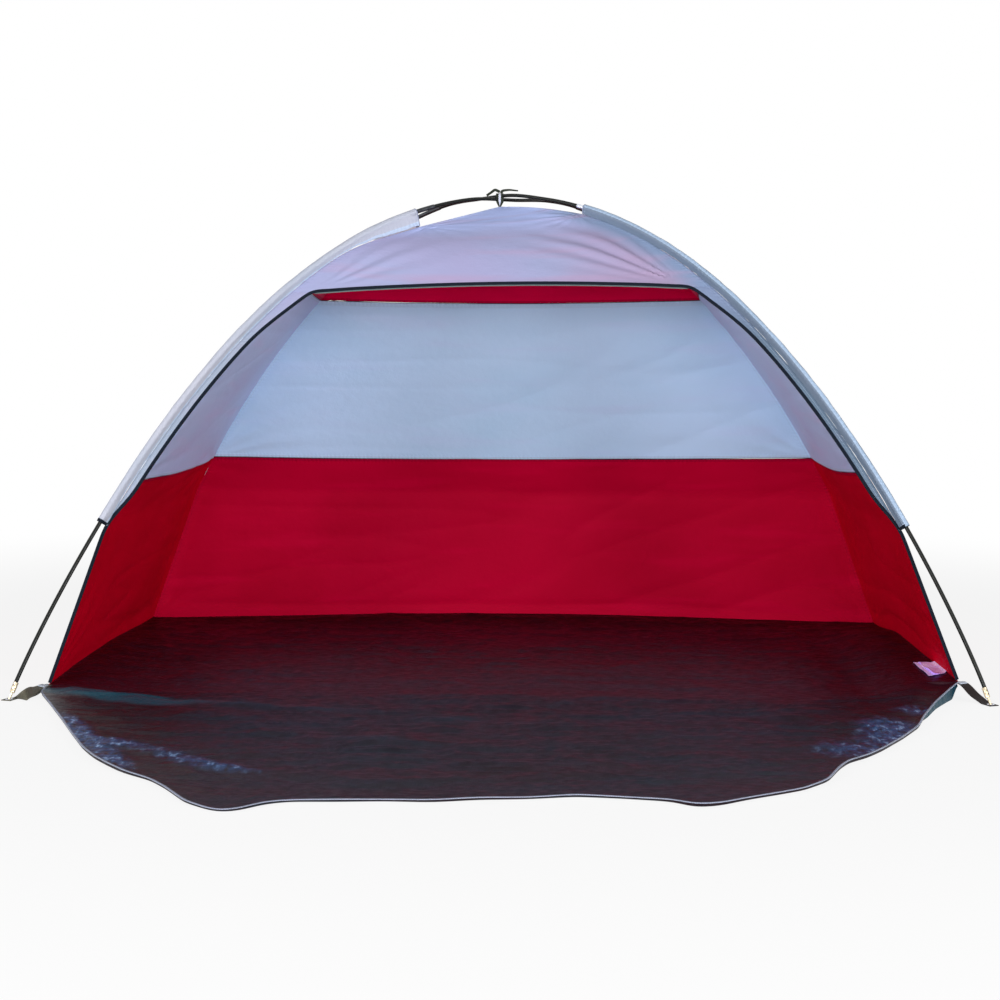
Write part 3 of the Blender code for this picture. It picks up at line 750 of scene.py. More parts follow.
@dataclass(frozen=True)
class LaminatedSheet(Finish):
    """Dark laminated ground sheet: half glossy, crinkled all over, with long cross creases.

    The mesh's attribute edges holds how creased a place is, which places the painted sky reflection on the
    creases, how bright it is, which places the painted glare, and its distance to the hem.

    Attributes:
        colour: The sheet's colour on screen.
        worn: The colour that it drifts to.
        inside: The colour that it turns to inside the tent, where the red walls shine on it.
        back_shadow: The colour that it turns to along the back wall: painted shadow at the wall's foot.
        streak_tone: The colour of its long streaks.
        crease_reflection: The colour of the folds by the door's corners: painted sky reflection on their
            ridges.
        glare_haze: The colour that the crumpled patches turn to: the soft part of their painted glare.
        sheen: The colour of their glare.
        roughness: The laminate's roughness.
        gloss: How much it mirrors.
    """

    name: str = "laminated_ground_sheet"
    slot: Slot = Slot.GROUND
    colour: Colour = (24, 5, 14)
    worn: Colour = (14, 16, 26)
    inside: Colour = (50, 6, 20)
    back_shadow: Colour = (8, 2, 4)
    streak_tone: Colour = (44, 56, 70)
    crease_reflection: Colour = (14, 62, 78)
    glare_haze: Colour = (44, 78, 126)
    sheen: Colour = (150, 182, 226)
    roughness: float = 0.40
    gloss: float = 0.13

    def paint(self, board: Board) -> None:
        """Draw the sheet.

        Args:
            board: The board to draw on.
        """
        place = board.attribute("cloth")
        creased, bright, _ = board.parts(board.attribute("edges"))
        patches = board.noise(board.scaled(place, 1.0, 3.2, 1.0), 2.6, 4.0, 0.55)
        colour = board.blend(self.colour, self.worn, board.between(patches, 0.38, 0.66))
        deep = board.parts(place)[1]
        streaks = board.noise(board.scaled(place, 2.0, 14.0, 1.0), 3.0, 4.0, 0.6)
        crinkle = board.noise(board.scaled(place, 1.0, 1.7, 1.0), 34.0, 5.0, 0.62)
        shards = board.noise(board.scaled(place, 1.0, 0.42, 1.0), 50.0, 5.0, 0.70)
        lit = board.between(bright, 0.15, 0.80)
        # Painted light on the sheet: the red walls' light inside the tent, a painted shadow along the back
        # wall, a painted sky reflection on the creases and painted glare on the crumpled patches; the long
        # streaks are a plain tone.
        for tint, share in ((self.inside, board.between(deep, -0.85, -0.50, 0.0, 0.65)),
                            (self.back_shadow, board.between(deep, 0.36, 0.58, 0.0, 0.85)),
                            (self.streak_tone, board.between(streaks, 0.60, 0.80, 0.0, 0.25)),
                            (self.crease_reflection, board.between(creased, 0.25, 0.8, 0.0, 0.85)),
                            (self.glare_haze, board.between(shards, 0.36, 0.54) * lit * 0.8),
                            (self.sheen, board.between(shards, 0.53, 0.66) * lit)):
            colour = board.blend(colour, tint, share)
        facets = board.node("ShaderNodeTexVoronoi", {"feature": "SMOOTH_F1"},
                            {"Vector": board.scaled(place, 1.0, 1.6, 1.0), "Scale": 21.0}, "Distance")
        tape = board.weave(place, 420.0, 22.0)
        height = crinkle * 0.9 + facets * 0.8 + tape * 0.05 + shards * bright * 0.6
        rough = board.between(crinkle, 0.3, 0.7, self.roughness - 0.1, self.roughness + 0.12)
        board.principled({"Base Color": colour, "Roughness": rough, "Specular IOR Level": self.gloss,
                          "Normal": board.bump(height, 0.0045, 0.8)})


@dataclass(frozen=True)
class WovenTape(Finish):
    """Woven tape or webbing, ribbed across its length and with a stitch line along it.

    Attributes:
        colour: The tape's colour on screen.
        rib_shade_and_tone: The colour between its ribs and in its random darker patches: painted shade in the
            grooves, plain tone in the patches.
        thread: The colour of its stitches.
        rib: The distance between ribs.
        twill: The distance between the slanted yarns.
        stitch: The length of a stitch with its gap.
        stitch_at: How far from the middle the stitch lines run.
        roughness: The yarn's roughness.
        gloss: How much it mirrors.
    """

    name: str
    slot: Slot
    colour: Colour
    rib_shade_and_tone: Colour
    thread: Colour
    rib: float = 0.0016
    twill: float = 0.0021
    stitch: float = 0.0044
    stitch_at: float = 0.0022
    roughness: float = 0.75
    gloss: float = 0.35

    def paint(self, board: Board) -> None:
        """Draw the tape.

        Args:
            board: The board to draw on.
        """
        place = board.attribute("cloth")
        across, along, _ = board.parts(place)
        rib_angle = along * (2 * math.pi / self.rib)
        rib = board.math("SINE", rib_angle) * 0.5 + 0.5
        chevron = board.math("SINE", across * (2 * math.pi / self.twill) + rib_angle) * 0.5 + 0.5
        worn = board.noise(place, 60.0, 3.0)
        # Painted shade between the ribs, mixed with a random darker tone.
        colour = board.blend(self.rib_shade_and_tone, self.colour, rib * 0.5 + worn * 0.7)
        distance = board.math("ABSOLUTE", across)
        away = board.math("ABSOLUTE", distance - self.stitch_at)
        dash = board.between(board.math("SINE", along * (2 * math.pi / self.stitch)), -0.1, 0.3)
        stitch = board.fading(away, 0.0003, 0.0007) * dash
        colour = board.blend(colour, self.thread, stitch * 0.75)
        height = rib * 0.5 + chevron * 0.35 + stitch * 0.5 + worn * 0.5
        board.principled({"Base Color": colour, "Roughness": worn * 0.2 + (self.roughness - 0.1),
                          "Specular IOR Level": self.gloss, "Sheen Weight": self.gloss * 0.4,
                          "Normal": board.bump(height, 0.0005, 0.8)})


@dataclass(frozen=True)
class Satin(Finish):
    """Blank satin label cloth with a woven selvedge.

    Attributes:
        colour: The satin's colour on screen.
        fold_shade: Its colour in the folds: painted shade in its soft folds, which its woven selvedge also
            takes.
        painted_glow_colour: The colour of a faint emission that brightens the satin: painted light.
        painted_glow: How strong that emission is.
    """

    name: str = "blank_satin"
    slot: Slot = Slot.LABEL
    colour: Colour = (255, 236, 255)
    fold_shade: Colour = (232, 196, 255)
    painted_glow_colour: Colour = (164, 121, 255)
    painted_glow: float = 0.14

    def paint(self, board: Board) -> None:
        """Draw the satin.

        Args:
            board: The board to draw on.
        """
        place = board.attribute("cloth")
        low, high, side = board.parts(board.attribute("edges"))
        soft = board.noise(place, 34.0, 3.0)
        # Painted shade: the soft folds turn to the darker colour, and the woven selvedge takes it as well.
        colour = board.blend(self.colour, self.fold_shade, board.between(soft, 0.4, 0.75))
        nearest = board.math("MINIMUM", side, board.math("MINIMUM", low, high))
        selvedge = board.fading(nearest, 0.0022, 0.0030)
        colour = board.blend(colour, self.fold_shade, selvedge * 0.6)
        yarn = board.noise(board.scaled(place, 2200.0, 160.0, 1.0), 1.0, 1.0)
        # Painted light: a faint bluish emission brightens the satin.
        board.principled({"Base Color": colour, "Roughness": board.between(soft, 0.2, 0.8, 0.34, 0.46),
                          "Anisotropic": 0.4, "Sheen Weight": 0.2,
                          "Emission Color": linear(self.painted_glow_colour), "Emission Strength": self.painted_glow,
                          "Normal": board.bump(soft * 0.8 + yarn * 0.2 + selvedge * 0.3, 0.0008, 0.8)})


@dataclass(frozen=True)
class Lacquer(Finish):
    """Fibreglass rod under a thin lacquer, with rubbed spots and beige patches that are partly its wound
    glass showing through, partly painted highlight.

    Attributes:
        colour: The lacquer's colour on screen.
        fibre_glint: The colour of the beige patches: partly the wound glass showing through, partly painted
            highlight.
    """

    name: str = "lacquered_fibre_rod"
    slot: Slot = Slot.ROD
    colour: Colour = (10, 14, 12)
    fibre_glint: Colour = (78, 70, 46)

    def paint(self, board: Board) -> None:
        """Draw the rod.

        Args:
            board: The board to draw on.
        """
        place = board.node("ShaderNodeTexCoord", {}, {}, "Object")
        wound = board.noise(board.scaled(place, 130.0, 130.0, 520.0), 1.0, 3.0, 0.6)
        rubbed = board.noise(place, 22.0, 4.0, 0.65)
        # Partly painted highlight: beige patches where the wound glass shows through the lacquer.
        share = board.between(wound, 0.52, 0.74, 0.0, 0.40) * board.between(rubbed, 0.4, 0.65)
        colour = board.blend(self.colour, self.fibre_glint, share)
        board.principled({"Base Color": colour, "Roughness": board.between(rubbed, 0.3, 0.7, 0.22, 0.42),
                          "Coat Weight": board.between(rubbed, 0.35, 0.7, 0.14, 0.04), "Coat Roughness": 0.22,
                          "Specular IOR Level": 0.16,
                          "Normal": board.bump(wound, 0.0002, 0.6)})


@dataclass(frozen=True)
class DrawnMetal(Finish):
    """Drawn or turned metal, with lines along it, handling marks and darker worn patches.

    Attributes:
        colour: The metal's colour on screen.
        tarnish: The colour of its dull patches.
        roughness: Its roughness where it is clean.
    """

    name: str
    slot: Slot
    colour: Colour
    tarnish: Colour
    roughness: float = 0.24

    def paint(self, board: Board) -> None:
        """Draw the metal.

        Args:
            board: The board to draw on.
        """
        place = board.node("ShaderNodeTexCoord", {}, {}, "Object")
        dull = board.noise(place, 65.0, 4.0, 0.6)
        lines = board.noise(board.scaled(place, 900.0, 900.0, 40.0), 1.0, 2.0)
        colour = board.blend(self.colour, self.tarnish, board.between(dull, 0.45, 0.72, 0.0, 0.8))
        board.principled({"Base Color": colour, "Metallic": 1.0,
                          "Roughness": board.between(dull, 0.3, 0.75, self.roughness, self.roughness + 0.26),
                          "Normal": board.bump(lines * 0.5 + dull * 0.5, 0.00018, 0.5)})


@dataclass(frozen=True)
class Braid(Finish):
    """Braided elastic cord.

    Attributes:
        gap: The colour between the yarns: painted shade in the gaps.
        yarn: The yarns' colour on screen.
    """

    name: str = "braided_elastic"
    slot: Slot = Slot.ELASTIC
    gap: Colour = (28, 28, 30)
    yarn: Colour = (66, 66, 70)

    def paint(self, board: Board) -> None:
        """Draw the braid.

        Args:
            board: The board to draw on.
        """
        place = board.node("ShaderNodeTexCoord", {}, {}, "Object")
        braid = board.node("ShaderNodeTexVoronoi", {"feature": "F1"}, {"Vector": place, "Scale": 700.0},
                           "Distance")
        # Painted shade: darker between the yarns.
        colour = board.blend(self.gap, self.yarn, braid)
        board.principled({"Base Color": colour, "Roughness": 0.85, "Normal": board.bump(braid, 0.0004, 0.7)})


SILVER = dict(slot=Slot.SILVER, thread=(168, 182, 206), felled=(180, 204, 232))
RED = dict(slot=Slot.RED, thread=(140, 8, 46), felled=(150, 0, 42), fold_shade=(40, 4, 30), gloss=0.03)
# The silver cloth is one cloth, drawn as lit and shaded copies: the back and side panels, seen from inside,
# get a lighter, bluer copy that carries painted daylight through the cloth; the awning gets a darker lilac
# copy with painted shade at its right and painted light at its top.
BACK_SILVER = Taffeta("silver_taffeta_back", colour=(192, 218, 250), shade=(182, 212, 244),
                      blush=(198, 206, 246), fold_shade=(64, 44, 72), blush_share=0.25, fell_high=0.020, **SILVER)
SIDE_SILVER = Taffeta("silver_taffeta_side", colour=(186, 206, 244), shade=(190, 200, 242),
                      blush=(206, 194, 238), fold_shade=(104, 112, 142), blush_share=0.35, **SILVER)
AWNING_SILVER = Taffeta("silver_taffeta_awning", colour=(160, 158, 196), shade=(152, 160, 196),
                        blush=(178, 144, 176), fold_shade=(140, 146, 176), blush_share=0.40, right=(152, 136, 166),
                        crown=(186, 202, 255), crown_from=1.45, flank_shade=(124, 142, 174), **SILVER)
# The right strip is a darker copy of the left one (painted shade); both turn lighter and bluer near the top
# (painted light).
STRIP_SILVER = {
    Side.LEFT: Taffeta("silver_taffeta_strip_left", colour=(152, 162, 180), shade=(140, 152, 172),
                       blush=(166, 160, 184), fold_shade=(110, 118, 136), blush_share=0.3, crown=(158, 158, 194),
                       crown_from=0.95, **SILVER),
    Side.RIGHT: Taffeta("silver_taffeta_strip_right", colour=(96, 114, 134), shade=(90, 108, 128),
                        blush=(116, 118, 142), fold_shade=(66, 76, 96), blush_share=0.3, crown=(126, 140, 172),
                        crown_from=0.95, **SILVER)}
# The right sleeves are a darker copy of the left ones: painted shade.
SLEEVE_SILVER = {
    Side.LEFT: Taffeta("silver_taffeta_sleeve_left", colour=(178, 180, 194), shade=(164, 172, 188),
                       blush=(190, 184, 200), fold_shade=(140, 146, 162), blush_share=0.3, roughness=0.46,
                       **SILVER),
    Side.RIGHT: Taffeta("silver_taffeta_sleeve_right", colour=(112, 126, 146), shade=(104, 120, 140),
                        blush=(130, 130, 156), fold_shade=(84, 94, 114), blush_share=0.3, roughness=0.46, **SILVER)}
# The red cloth likewise: the side walls get a copy of the back wall's red that is tuned to the light on them,
# and the roof cap a brighter copy that makes up for the shade it stands in: painted light.
DEEP_RED = Taffeta("deep_red_taffeta", colour=(186, 0, 46), shade=(174, 0, 40), blush=(206, 0, 58),
                   blush_share=0.35, **RED)
SIDE_RED = Taffeta("deep_red_taffeta_side", colour=(191, 0, 31), shade=(179, 0, 26), blush=(206, 0, 40),
                   blush_share=0.35, **RED)
CAP_RED = Taffeta("deep_red_taffeta_cap", colour=(220, 0, 66), shade=(208, 0, 60), blush=(236, 0, 72),
                  blush_share=0.3, **RED)
BLACK_TAPE = WovenTape("black_binding_tape", Slot.BLACK_TAPE, (14, 24, 38), (5, 9, 16), (38, 48, 64),
                       gloss=0.10)
HEM_TAPE = WovenTape("pale_hem_tape", Slot.HEM_TAPE, (150, 158, 184), (92, 100, 122), (186, 192, 208))
FACING_TAPE = WovenTape("grey_facing_tape", Slot.HEM_TAPE, (104, 122, 124), (64, 76, 82), (140, 150, 152))
GREY_WEBBING = WovenTape("grey_webbing", Slot.WEBBING, (98, 95, 82), (56, 54, 45), (136, 132, 118),
                         rib=0.0024, stitch_at=0.0098, gloss=0.15)
# Painted shade: the front right strap is the grey webbing, given a near-black copy for the shade it lies in.
SHADED_WEBBING = WovenTape("dark_webbing", Slot.WEBBING, (38, 28, 27), (20, 14, 14), (62, 54, 50),
                         rib=0.0024, stitch_at=0.0098, gloss=0.10)
PALE_PATCH = WovenTape("pale_tab_patch", Slot.WEBBING, (190, 198, 212), (120, 128, 146), (220, 222, 226),
                       rib=0.0020, stitch_at=0.0080)
WHITE_TAPE = WovenTape("white_tie_tape", Slot.WHITE_TAPE, (206, 210, 226), (150, 154, 170), (226, 228, 232),
                       rib=0.0014, stitch_at=0.0026)
OLIVE_TAPE = WovenTape("olive_tie_tape", Slot.BLACK_TAPE, (46, 52, 42), (18, 22, 18), (66, 70, 58),
                       rib=0.0014, gloss=0.12)
DULL_STEEL = DrawnMetal("dull_steel", Slot.STEEL, (64, 66, 70), (32, 34, 38), roughness=0.42)
STEEL = DrawnMetal("drawn_steel", Slot.STEEL, (214, 218, 228), (150, 154, 168))
BRASS = DrawnMetal("plated_tip", Slot.BRASS, (216, 200, 172), (150, 130, 100), roughness=0.34)
ROD = Lacquer()
GROUND = LaminatedSheet()
SATIN = Satin()
BRAID = Braid()


def dress(piece: Piece, finish: Finish, nodes: Sequence[str] = ()) -> Piece:
    """Give a piece its finish, and let it ride on the tent.

    Args:
        piece: The piece.
        finish: Its finish.
        nodes: The CAD nodes that it stands for.

    Returns:
        The piece.
    """
    paint(piece, finish, nodes)
    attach(piece, Body.TENT.value)
    LOG.info("%s rides on %s, %d faces", piece.name, Body.TENT.value, len(piece.data.polygons))
    return piece


def paint(piece: Piece, finish: Finish, nodes: Sequence[str] = ()) -> None:
    """Give a piece its finish and the CAD nodes that it stands for.

    Args:
        piece: The piece.
        finish: Its finish.
        nodes: The CAD nodes that it stands for.
    """
    piece.data.materials.append(finish.material())
    if nodes:
        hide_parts(*nodes)


@dataclass
class Bow:
    """The poles' bowed line, worked out for the quarter +X +Y and mirrored to the other three.

    Attributes:
        reach_side: How far a pole's tip stands beside the floor's corner.
        reach_end: How far it stands before or behind the corner.
        rise: The height at which the poles cross.
        bow_power: How late the bow turns down.
        crown_power: How flat the crown is.
        radius: The rod's radius.
        gap: The clearance between touching pieces.
        sleeve_foot_gap: Where the sleeves start, from the pole's foot.
        lift_reach: How far from the crossing one pole bends over the other.
        back_swell: How much higher the back legs bow between the crossing and their shoulders.
        swell_rise: From where and over what length the swell grows.
        swell_fall: From where and over what length it fades.
        crown_lift: How much higher the poles run between the sleeves.
        crown_reach: How far from the crossing that fades.
        crossing_x: How far to the right of the middle they cross.
        crossing_reach: How far from the middle the poles are back on their plain line.
        foot_power: How late a front leg turns forward to its foot.
        foot_forward: How far forward each front foot stands from its plain place.
        samples: How many points a leg is drawn with.
    """

    reach_side: float = 0.049
    reach_end: float = 0.103
    rise: float = 1.2225
    bow_power: float = 2.066
    crown_power: float = 0.9186
    radius: float = 0.00475
    gap: float = 0.0003
    sleeve_foot_gap: float = 0.46
    lift_reach: float = 0.12
    back_swell: float = 0.013
    swell_rise: Pair = (0.02, 0.20)
    swell_fall: Pair = (0.30, 0.55)
    crown_lift: float = 0.006
    crown_reach: float = 0.34
    crossing_x: float = -0.022
    crossing_reach: float = 0.27
    foot_power: float = 1.25
    foot_forward: Mapping[Side, float] = field(default_factory=lambda: {Side.LEFT: 0.050, Side.RIGHT: 0.010})
    samples: int = 600

    def __post_init__(self) -> None:
        """Read the floor's size from the frame, and set out the tips and the crossing."""
        low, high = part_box("floor")
        self.half_width = (high.x - low.x) / 2
        self.half_depth = high.y
        self.tip_x = self.half_width + self.reach_side
        self.tip_y = self.half_depth + self.reach_end
        self.half_span = math.hypot(self.tip_x, self.tip_y)
        self.crossing_lift = self.radius + self.gap / 2

    def leg(self, end: End = End.FRONT, lift: float = 0.0) -> Route:
        """A leg's middle line from the crown to the foot, lifted at the crossing.

        Args:
            end: Whether it is a front or a back leg.
            lift: How far up the crossing is moved.

        Returns:
            The line.
        """
        share = np.linspace(0.0, 1.0, self.samples) ** 0.8
        reach = share * self.half_span
        rest = np.maximum(1 - share ** self.bow_power, 0.0)
        height = self.rise * rest ** self.crown_power + lift * (1 - ease(reach / self.lift_reach))
        height += self.crown_lift * (1 - ease(reach / self.crown_reach))
        if end is End.BACK:
            grown, faded = (ease((reach - start) / length)
                            for start, length in (self.swell_rise, self.swell_fall))
            height += self.back_swell * grown * (1 - faded)
        return Route(np.stack([self.tip_x * share, self.tip_y * share, height], axis=1))

    def pole(self, side: Side, lift: float) -> Route:
        """A whole pole's line, from its front foot on one side to its back foot on the other.

        Args:
            side: The side of its front foot.
            lift: How far up it is moved at the crossing.

        Returns:
            The line.
        """
        leg = self.leg(End.FRONT, lift)
        low = np.clip((leg.marks - leg.length + self.sleeve_foot_gap) / self.sleeve_foot_gap, 0, 1)
        front = leg.points * [side.value, -1, 1]
        front[:, 1] -= self.foot_forward[side] * low ** self.foot_power
        line = np.concatenate([front[:0:-1], self.leg(End.BACK, lift).points * [-side.value, 1, 1]])
        near = 1 - ease(np.hypot(line[:, 0], line[:, 1]) / self.crossing_reach)
        line[:, 1] += side.value * self.crossing_x * self.tip_y / self.tip_x * near
        return Route(line)

    def outward(self, leg: Route, distance: Number) -> Grid:
        """The unit directions square to a leg in its upright plane, away from the tent.

        Args:
            leg: The leg's line.
            distance: Distances along it.

        Returns:
            The directions.
        """
        along = leg.direction(distance)
        level = np.array([self.tip_x, self.tip_y, 0.0]) / self.half_span
        run = along @ level
        flat = -along[..., 2:] * level
        flat[..., 2] += run
        return unit(flat)


@dataclass(frozen=True)
class Footing:
    """How far the walls pull the floor's border up off the ground.

    Attributes:
        bow: The poles' line.
        left: How far the left border lifts.
        right: How far the right border lifts.
        back: How far the middle of the back border lifts.
    """

    bow: Bow
    left: float = 0.014
    right: float = 0.0335
    back: float = 0.020

    def pull(self, x: Grid, y: Grid) -> Grid:
        """How far the sheet is pulled up.

        Args:
            x: Metres to the right.
            y: Metres to the back.

        Returns:
            Heights over the ground.
        """
        wide, deep = self.bow.half_width, self.bow.half_depth
        left = self.left * ease((deep - y) / 0.6) * (1 - 0.5 * ease((-y - 0.25) / 0.35))
        right = self.right * (0.89 + 0.11 * ease((-y - 0.1) / 0.4)) * ease((deep - 0.02 - y) / 0.45)
        sides = left * (1 - ease((x + wide - 0.05) / 0.20)) + right * (1 - ease((wide - x - 0.07) / 0.17))
        middle = np.sin(math.pi * np.clip((x / wide + 1) / 2, 0, 1)) ** 1.5
        return sides + self.back * middle * ease((y - deep + 0.17) / 0.17)


@dataclass
class Seam:
    """The roof seam of one leg: from the floor corner to the sleeve, along it, and over a ridge to the crown.

    Attributes:
        bow: The poles' line.
        side: The leg's side.
        end: The leg's end.
        crown_drop: How far the seam lies below the rod at the sleeve's crown end.
        ridge_arch: How far the ridge to the crown arches up.
        foot_height: How high its foot stands at the floor's corner.
        crown_gap: Where its sleeve ends, from the crossing.
        sleeve_drop: How far it lies below the rod along the sleeve.
        flare_length: The length over which it drops towards the sleeve's crown end.
        roof_drop: How far its crown end lies below the poles' crossing.
        wall_setback: How far its foot stands in from the floor's side.
        front_setback: How far its foot stands in from the floor's front or back.
    """

    bow: Bow
    side: Side
    end: End
    crown_drop: float = 0.028
    ridge_arch: float = 0.0
    foot_height: float = 0.0020
    crown_gap: float = 0.255
    sleeve_drop: float = 0.0165
    flare_length: float = 0.26
    roof_drop: float = 0.018
    wall_setback: float = 0.004
    front_setback: float = 0.008

    def drop(self, distance: Number) -> Number:
        """How far the seam lies below the rod, at distances from the crossing."""
        share = 1 - (np.asarray(distance) - self.crown_gap) / self.flare_length
        return self.sleeve_drop + (self.crown_drop - self.sleeve_drop) * ease(share)

    @property
    def sign(self) -> Grid:
        """What takes the quarter +X +Y to this leg's own."""
        return np.array([self.side.value, self.end.value, 1])

    def route(self) -> Route:
        """The seam's line from the floor up to the crown, in this leg's own quarter.

        Returns:
            The line, marked with the plain seam's distances so that four seams share their marks.
        """
        wide, deep = self.bow.half_width - self.wall_setback, self.bow.half_depth - self.front_setback
        crown = np.array([self.bow.crossing_x * self.side.value, 0.0, self.bow.rise - self.roof_drop])
        lines = []
        for seam in (Seam(self.bow, self.side, End.FRONT), self):
            corner = np.array([wide, deep, seam.foot_height])
            leg = self.bow.leg(seam.end)
            stops = np.linspace(leg.length - self.bow.sleeve_foot_gap, seam.crown_gap, 150)
            sewn_part = leg.at(stops) - self.bow.outward(leg, stops) * np.asarray(seam.drop(stops))[:, None]
            low = corner + (sewn_part[0] - corner) * np.linspace(0, 1, 60, endpoint=False)[:, None]
            share = np.linspace(0, 1, 40)[1:, None]
            ridge = sewn_part[-1] + (crown - sewn_part[-1]) * share
            lines.append(np.concatenate([low, sewn_part, ridge]))
        plain, own = lines
        own[-39:, 2] += self.ridge_arch * np.sin(math.pi * np.linspace(0, 1, 40)[1:])
        return Route(own * self.sign, Route(plain).marks)

    @property
    def sleeve_foot(self) -> float:
        """The distance up the seam at which the sleeve starts."""
        return float(self.route().marks[60])

    @property
    def sleeve_crown(self) -> float:
        """The distance up the seam at which the sleeve ends."""
        return float(self.route().marks[-40])


@dataclass
class Framed:
    """A sub-assembly that is set out from the poles.

    Attributes:
        bow: The poles' line.
    """

    bow: Bow


@dataclass
class Sewn(Framed):
    """A sub-assembly of cloth that hangs from the roof seams.

    Attributes:
        seams: The four roof seams by corner.
    """

    seams: Mapping[tuple[Side, End], Seam]


@dataclass
class Poles(Framed):
    """Both poles: hollow rod sections, ferrules over their joints, elastic cords and metal tips.

    Attributes:
        sections: How many sections a pole has.
        bore: The rods' bore radius.
        cord: The elastic cord's radius.
        ferrule_length: How long a ferrule is.
        ferrule_wall: How thick its wall is.
        collar_depth: How far a rod sits in its tip.
        collar_wall: The tip collar's wall.
        collar_floor: The tip's floor under the rod.
        pin_length: How long the tip's pin is.
        pin_radius: The pin's radius.
        tip_reach: The length of the pole from which a tip takes its direction.
        broken: How far the rods' edges are broken.
        sides: How many sides the round pieces have.
    """

    sections: int = 7
    bore: float = 0.003
    cord: float = 0.00125
    ferrule_length: float = 0.10
    ferrule_wall: float = 0.0007
    collar_depth: float = 0.022
    collar_wall: float = 0.0009
    collar_floor: float = 0.003
    pin_length: float = 0.018
    pin_radius: float = 0.00275
    tip_reach: float = 0.108
    broken: float = 0.0004
    sides: int = 20

    def stand(self, up: Grid) -> tuple[float, float]:
        """How far from a pole's foot its pin and its rod end."""
        pin_end = (self.pin_radius * math.sqrt(1 - up[2] ** 2) + self.bow.gap) / up[2]
        return pin_end, pin_end + self.pin_length + self.collar_floor + self.bow.gap

    def foot_direction(self, route: Route, back: bool) -> Grid:
        """The way a pole rises from one foot.

        Args:
            route: The pole's line.
            back: Whether it is the back foot.

        Returns:
            The unit direction.
        """
        foot, above = (route.length, route.length - self.tip_reach) if back else (0.0, self.tip_reach)
        return unit(route.at(above) - route.at(foot))

    def rod(self, name: str, route: Route, start: float, end: float) -> Piece:
        """One hollow rod section with slightly broken edges.

        Args:
            name: The piece's name.
            route: The pole's line.
            start: Where the section starts.
            end: Where it ends.

        Returns:
            The rod.
        """
        outer = [(start, self.bow.radius - self.broken), (start + self.broken, self.bow.radius)]
        outer += [(d, self.bow.radius) for d in route.stops(start + 0.004, end - 0.004, 0.012)]
        outer += [(end - self.broken, self.bow.radius), (end, self.bow.radius - self.broken)]
        inner = [(d, self.bore) for d in route.stops(end, start, 0.03)]
        return turned(name, route, outer + inner, self.sides, closed=True)

    def ferrule(self, name: str, route: Route, middle: float) -> Piece:
        """One ferrule, crimped near both ends and rolled in at its rims.

        Args:
            name: The piece's name.
            route: The pole's line.
            middle: Where its middle is.

        Returns:
            The ferrule.
        """
        inner = self.bow.radius + self.bow.gap * 0.6
        outer = self.bow.radius + self.bow.gap + self.ferrule_wall
        half = self.ferrule_length / 2
        crimp = self.ferrule_wall * 0.5
        profile = [(-half, inner), (-half, outer - crimp), (-half + 0.0008, outer), (-half + 0.010, outer),
                   (-half + 0.0115, outer - crimp), (-half + 0.013, outer)]
        inside = [(d, outer) for d in np.linspace(-half + 0.016, half - 0.016, 7)]
        mirror = [(-d, r) for d, r in profile[::-1]]
        inner_line = [(d, inner) for d in np.linspace(half, -half, 9)[1:-1]]
        stations = [(middle + d, r) for d, r in profile + inside + mirror + inner_line]
        return turned(name, route, stations, self.sides, closed=True)

    def tip(self, name: str, foot: Grid, up: Grid, pin_end: float) -> Piece:
        """One tip: a collar with a rolled rim and two grooves, a shoulder and a rounded pin.

        Args:
            name: The piece's name.
            foot: The pole's foot.
            up: The way that the pole rises from it.
            pin_end: How far from the foot the pin ends.

        Returns:
            The tip.
        """
        pin, bore = self.pin_radius, self.bow.radius + self.bow.gap
        outer = bore + self.collar_wall
        seat = self.pin_length + self.collar_floor
        rim = seat + self.collar_depth
        groove = self.collar_wall * 0.45
        profile = [(0.0, pin * 0.55), (0.0006, pin * 0.85), (0.0016, pin), (self.pin_length - 0.0012, pin),
                   (self.pin_length - 0.0002, pin * 1.15), (self.pin_length, outer - 0.0012),
                   (self.pin_length + 0.0010, outer)]
        for low in (seat + 0.004, seat + 0.014):
            profile += [(low, outer), (low + 0.0006, outer - groove), (low + 0.0016, outer - groove),
                        (low + 0.0022, outer)]
        profile += [(rim - 0.0016, outer), (rim - 0.0010, outer + 0.0004), (rim - 0.0003, outer + 0.0004),
                    (rim, outer - 0.0003), (rim, bore), (seat, bore), (seat, bore * 0.3)]
        route = Route(np.stack([foot + up * pin_end, foot + up * (pin_end + rim + 0.01)]))
        return turned(name, route, profile, 28)

    def build(self) -> None:
        """Make both poles."""
        for letter, side, lift in (("a", Side.LEFT, -1), ("b", Side.RIGHT, 1)):
            route = self.bow.pole(side, lift * self.bow.crossing_lift)
            front, back = self.foot_direction(route, False), self.foot_direction(route, True)
            pin_end, rod_end = self.stand(front)
            step = (route.length - 2 * rod_end) / self.sections
            for i in range(self.sections):
                start = rod_end + i * step + self.bow.gap / 2
                piece = self.rod(f"rod_{letter}_{i + 1}", route, start, start + step - self.bow.gap)
                dress(piece, ROD, [f"pole_{letter}_section_{i + 1}"])
            for i in range(1, self.sections):
                piece = self.ferrule(f"ferrule_{letter}_{i}", route, rod_end + i * step)
                finish = STEEL if side is Side.RIGHT and i * 2 < self.sections else DULL_STEEL
                dress(piece, finish, [f"pole_{letter}_ferrule_{i}"])
            line = [(d, self.cord) for d in route.stops(rod_end, route.length - rod_end, 0.02)]
            dress(turned(f"shock_cord_{letter}", route, line, 8), BRAID, [f"pole_{letter}_elastic_cord"])
            for word, foot, up in (("front", route.points[0], front), ("back", route.points[-1], back)):
                tip = self.tip(f"tip_{letter}_{word}", foot, up, pin_end)
                dress(tip, BRASS, [f"pole_{letter}_tip_{word}"])


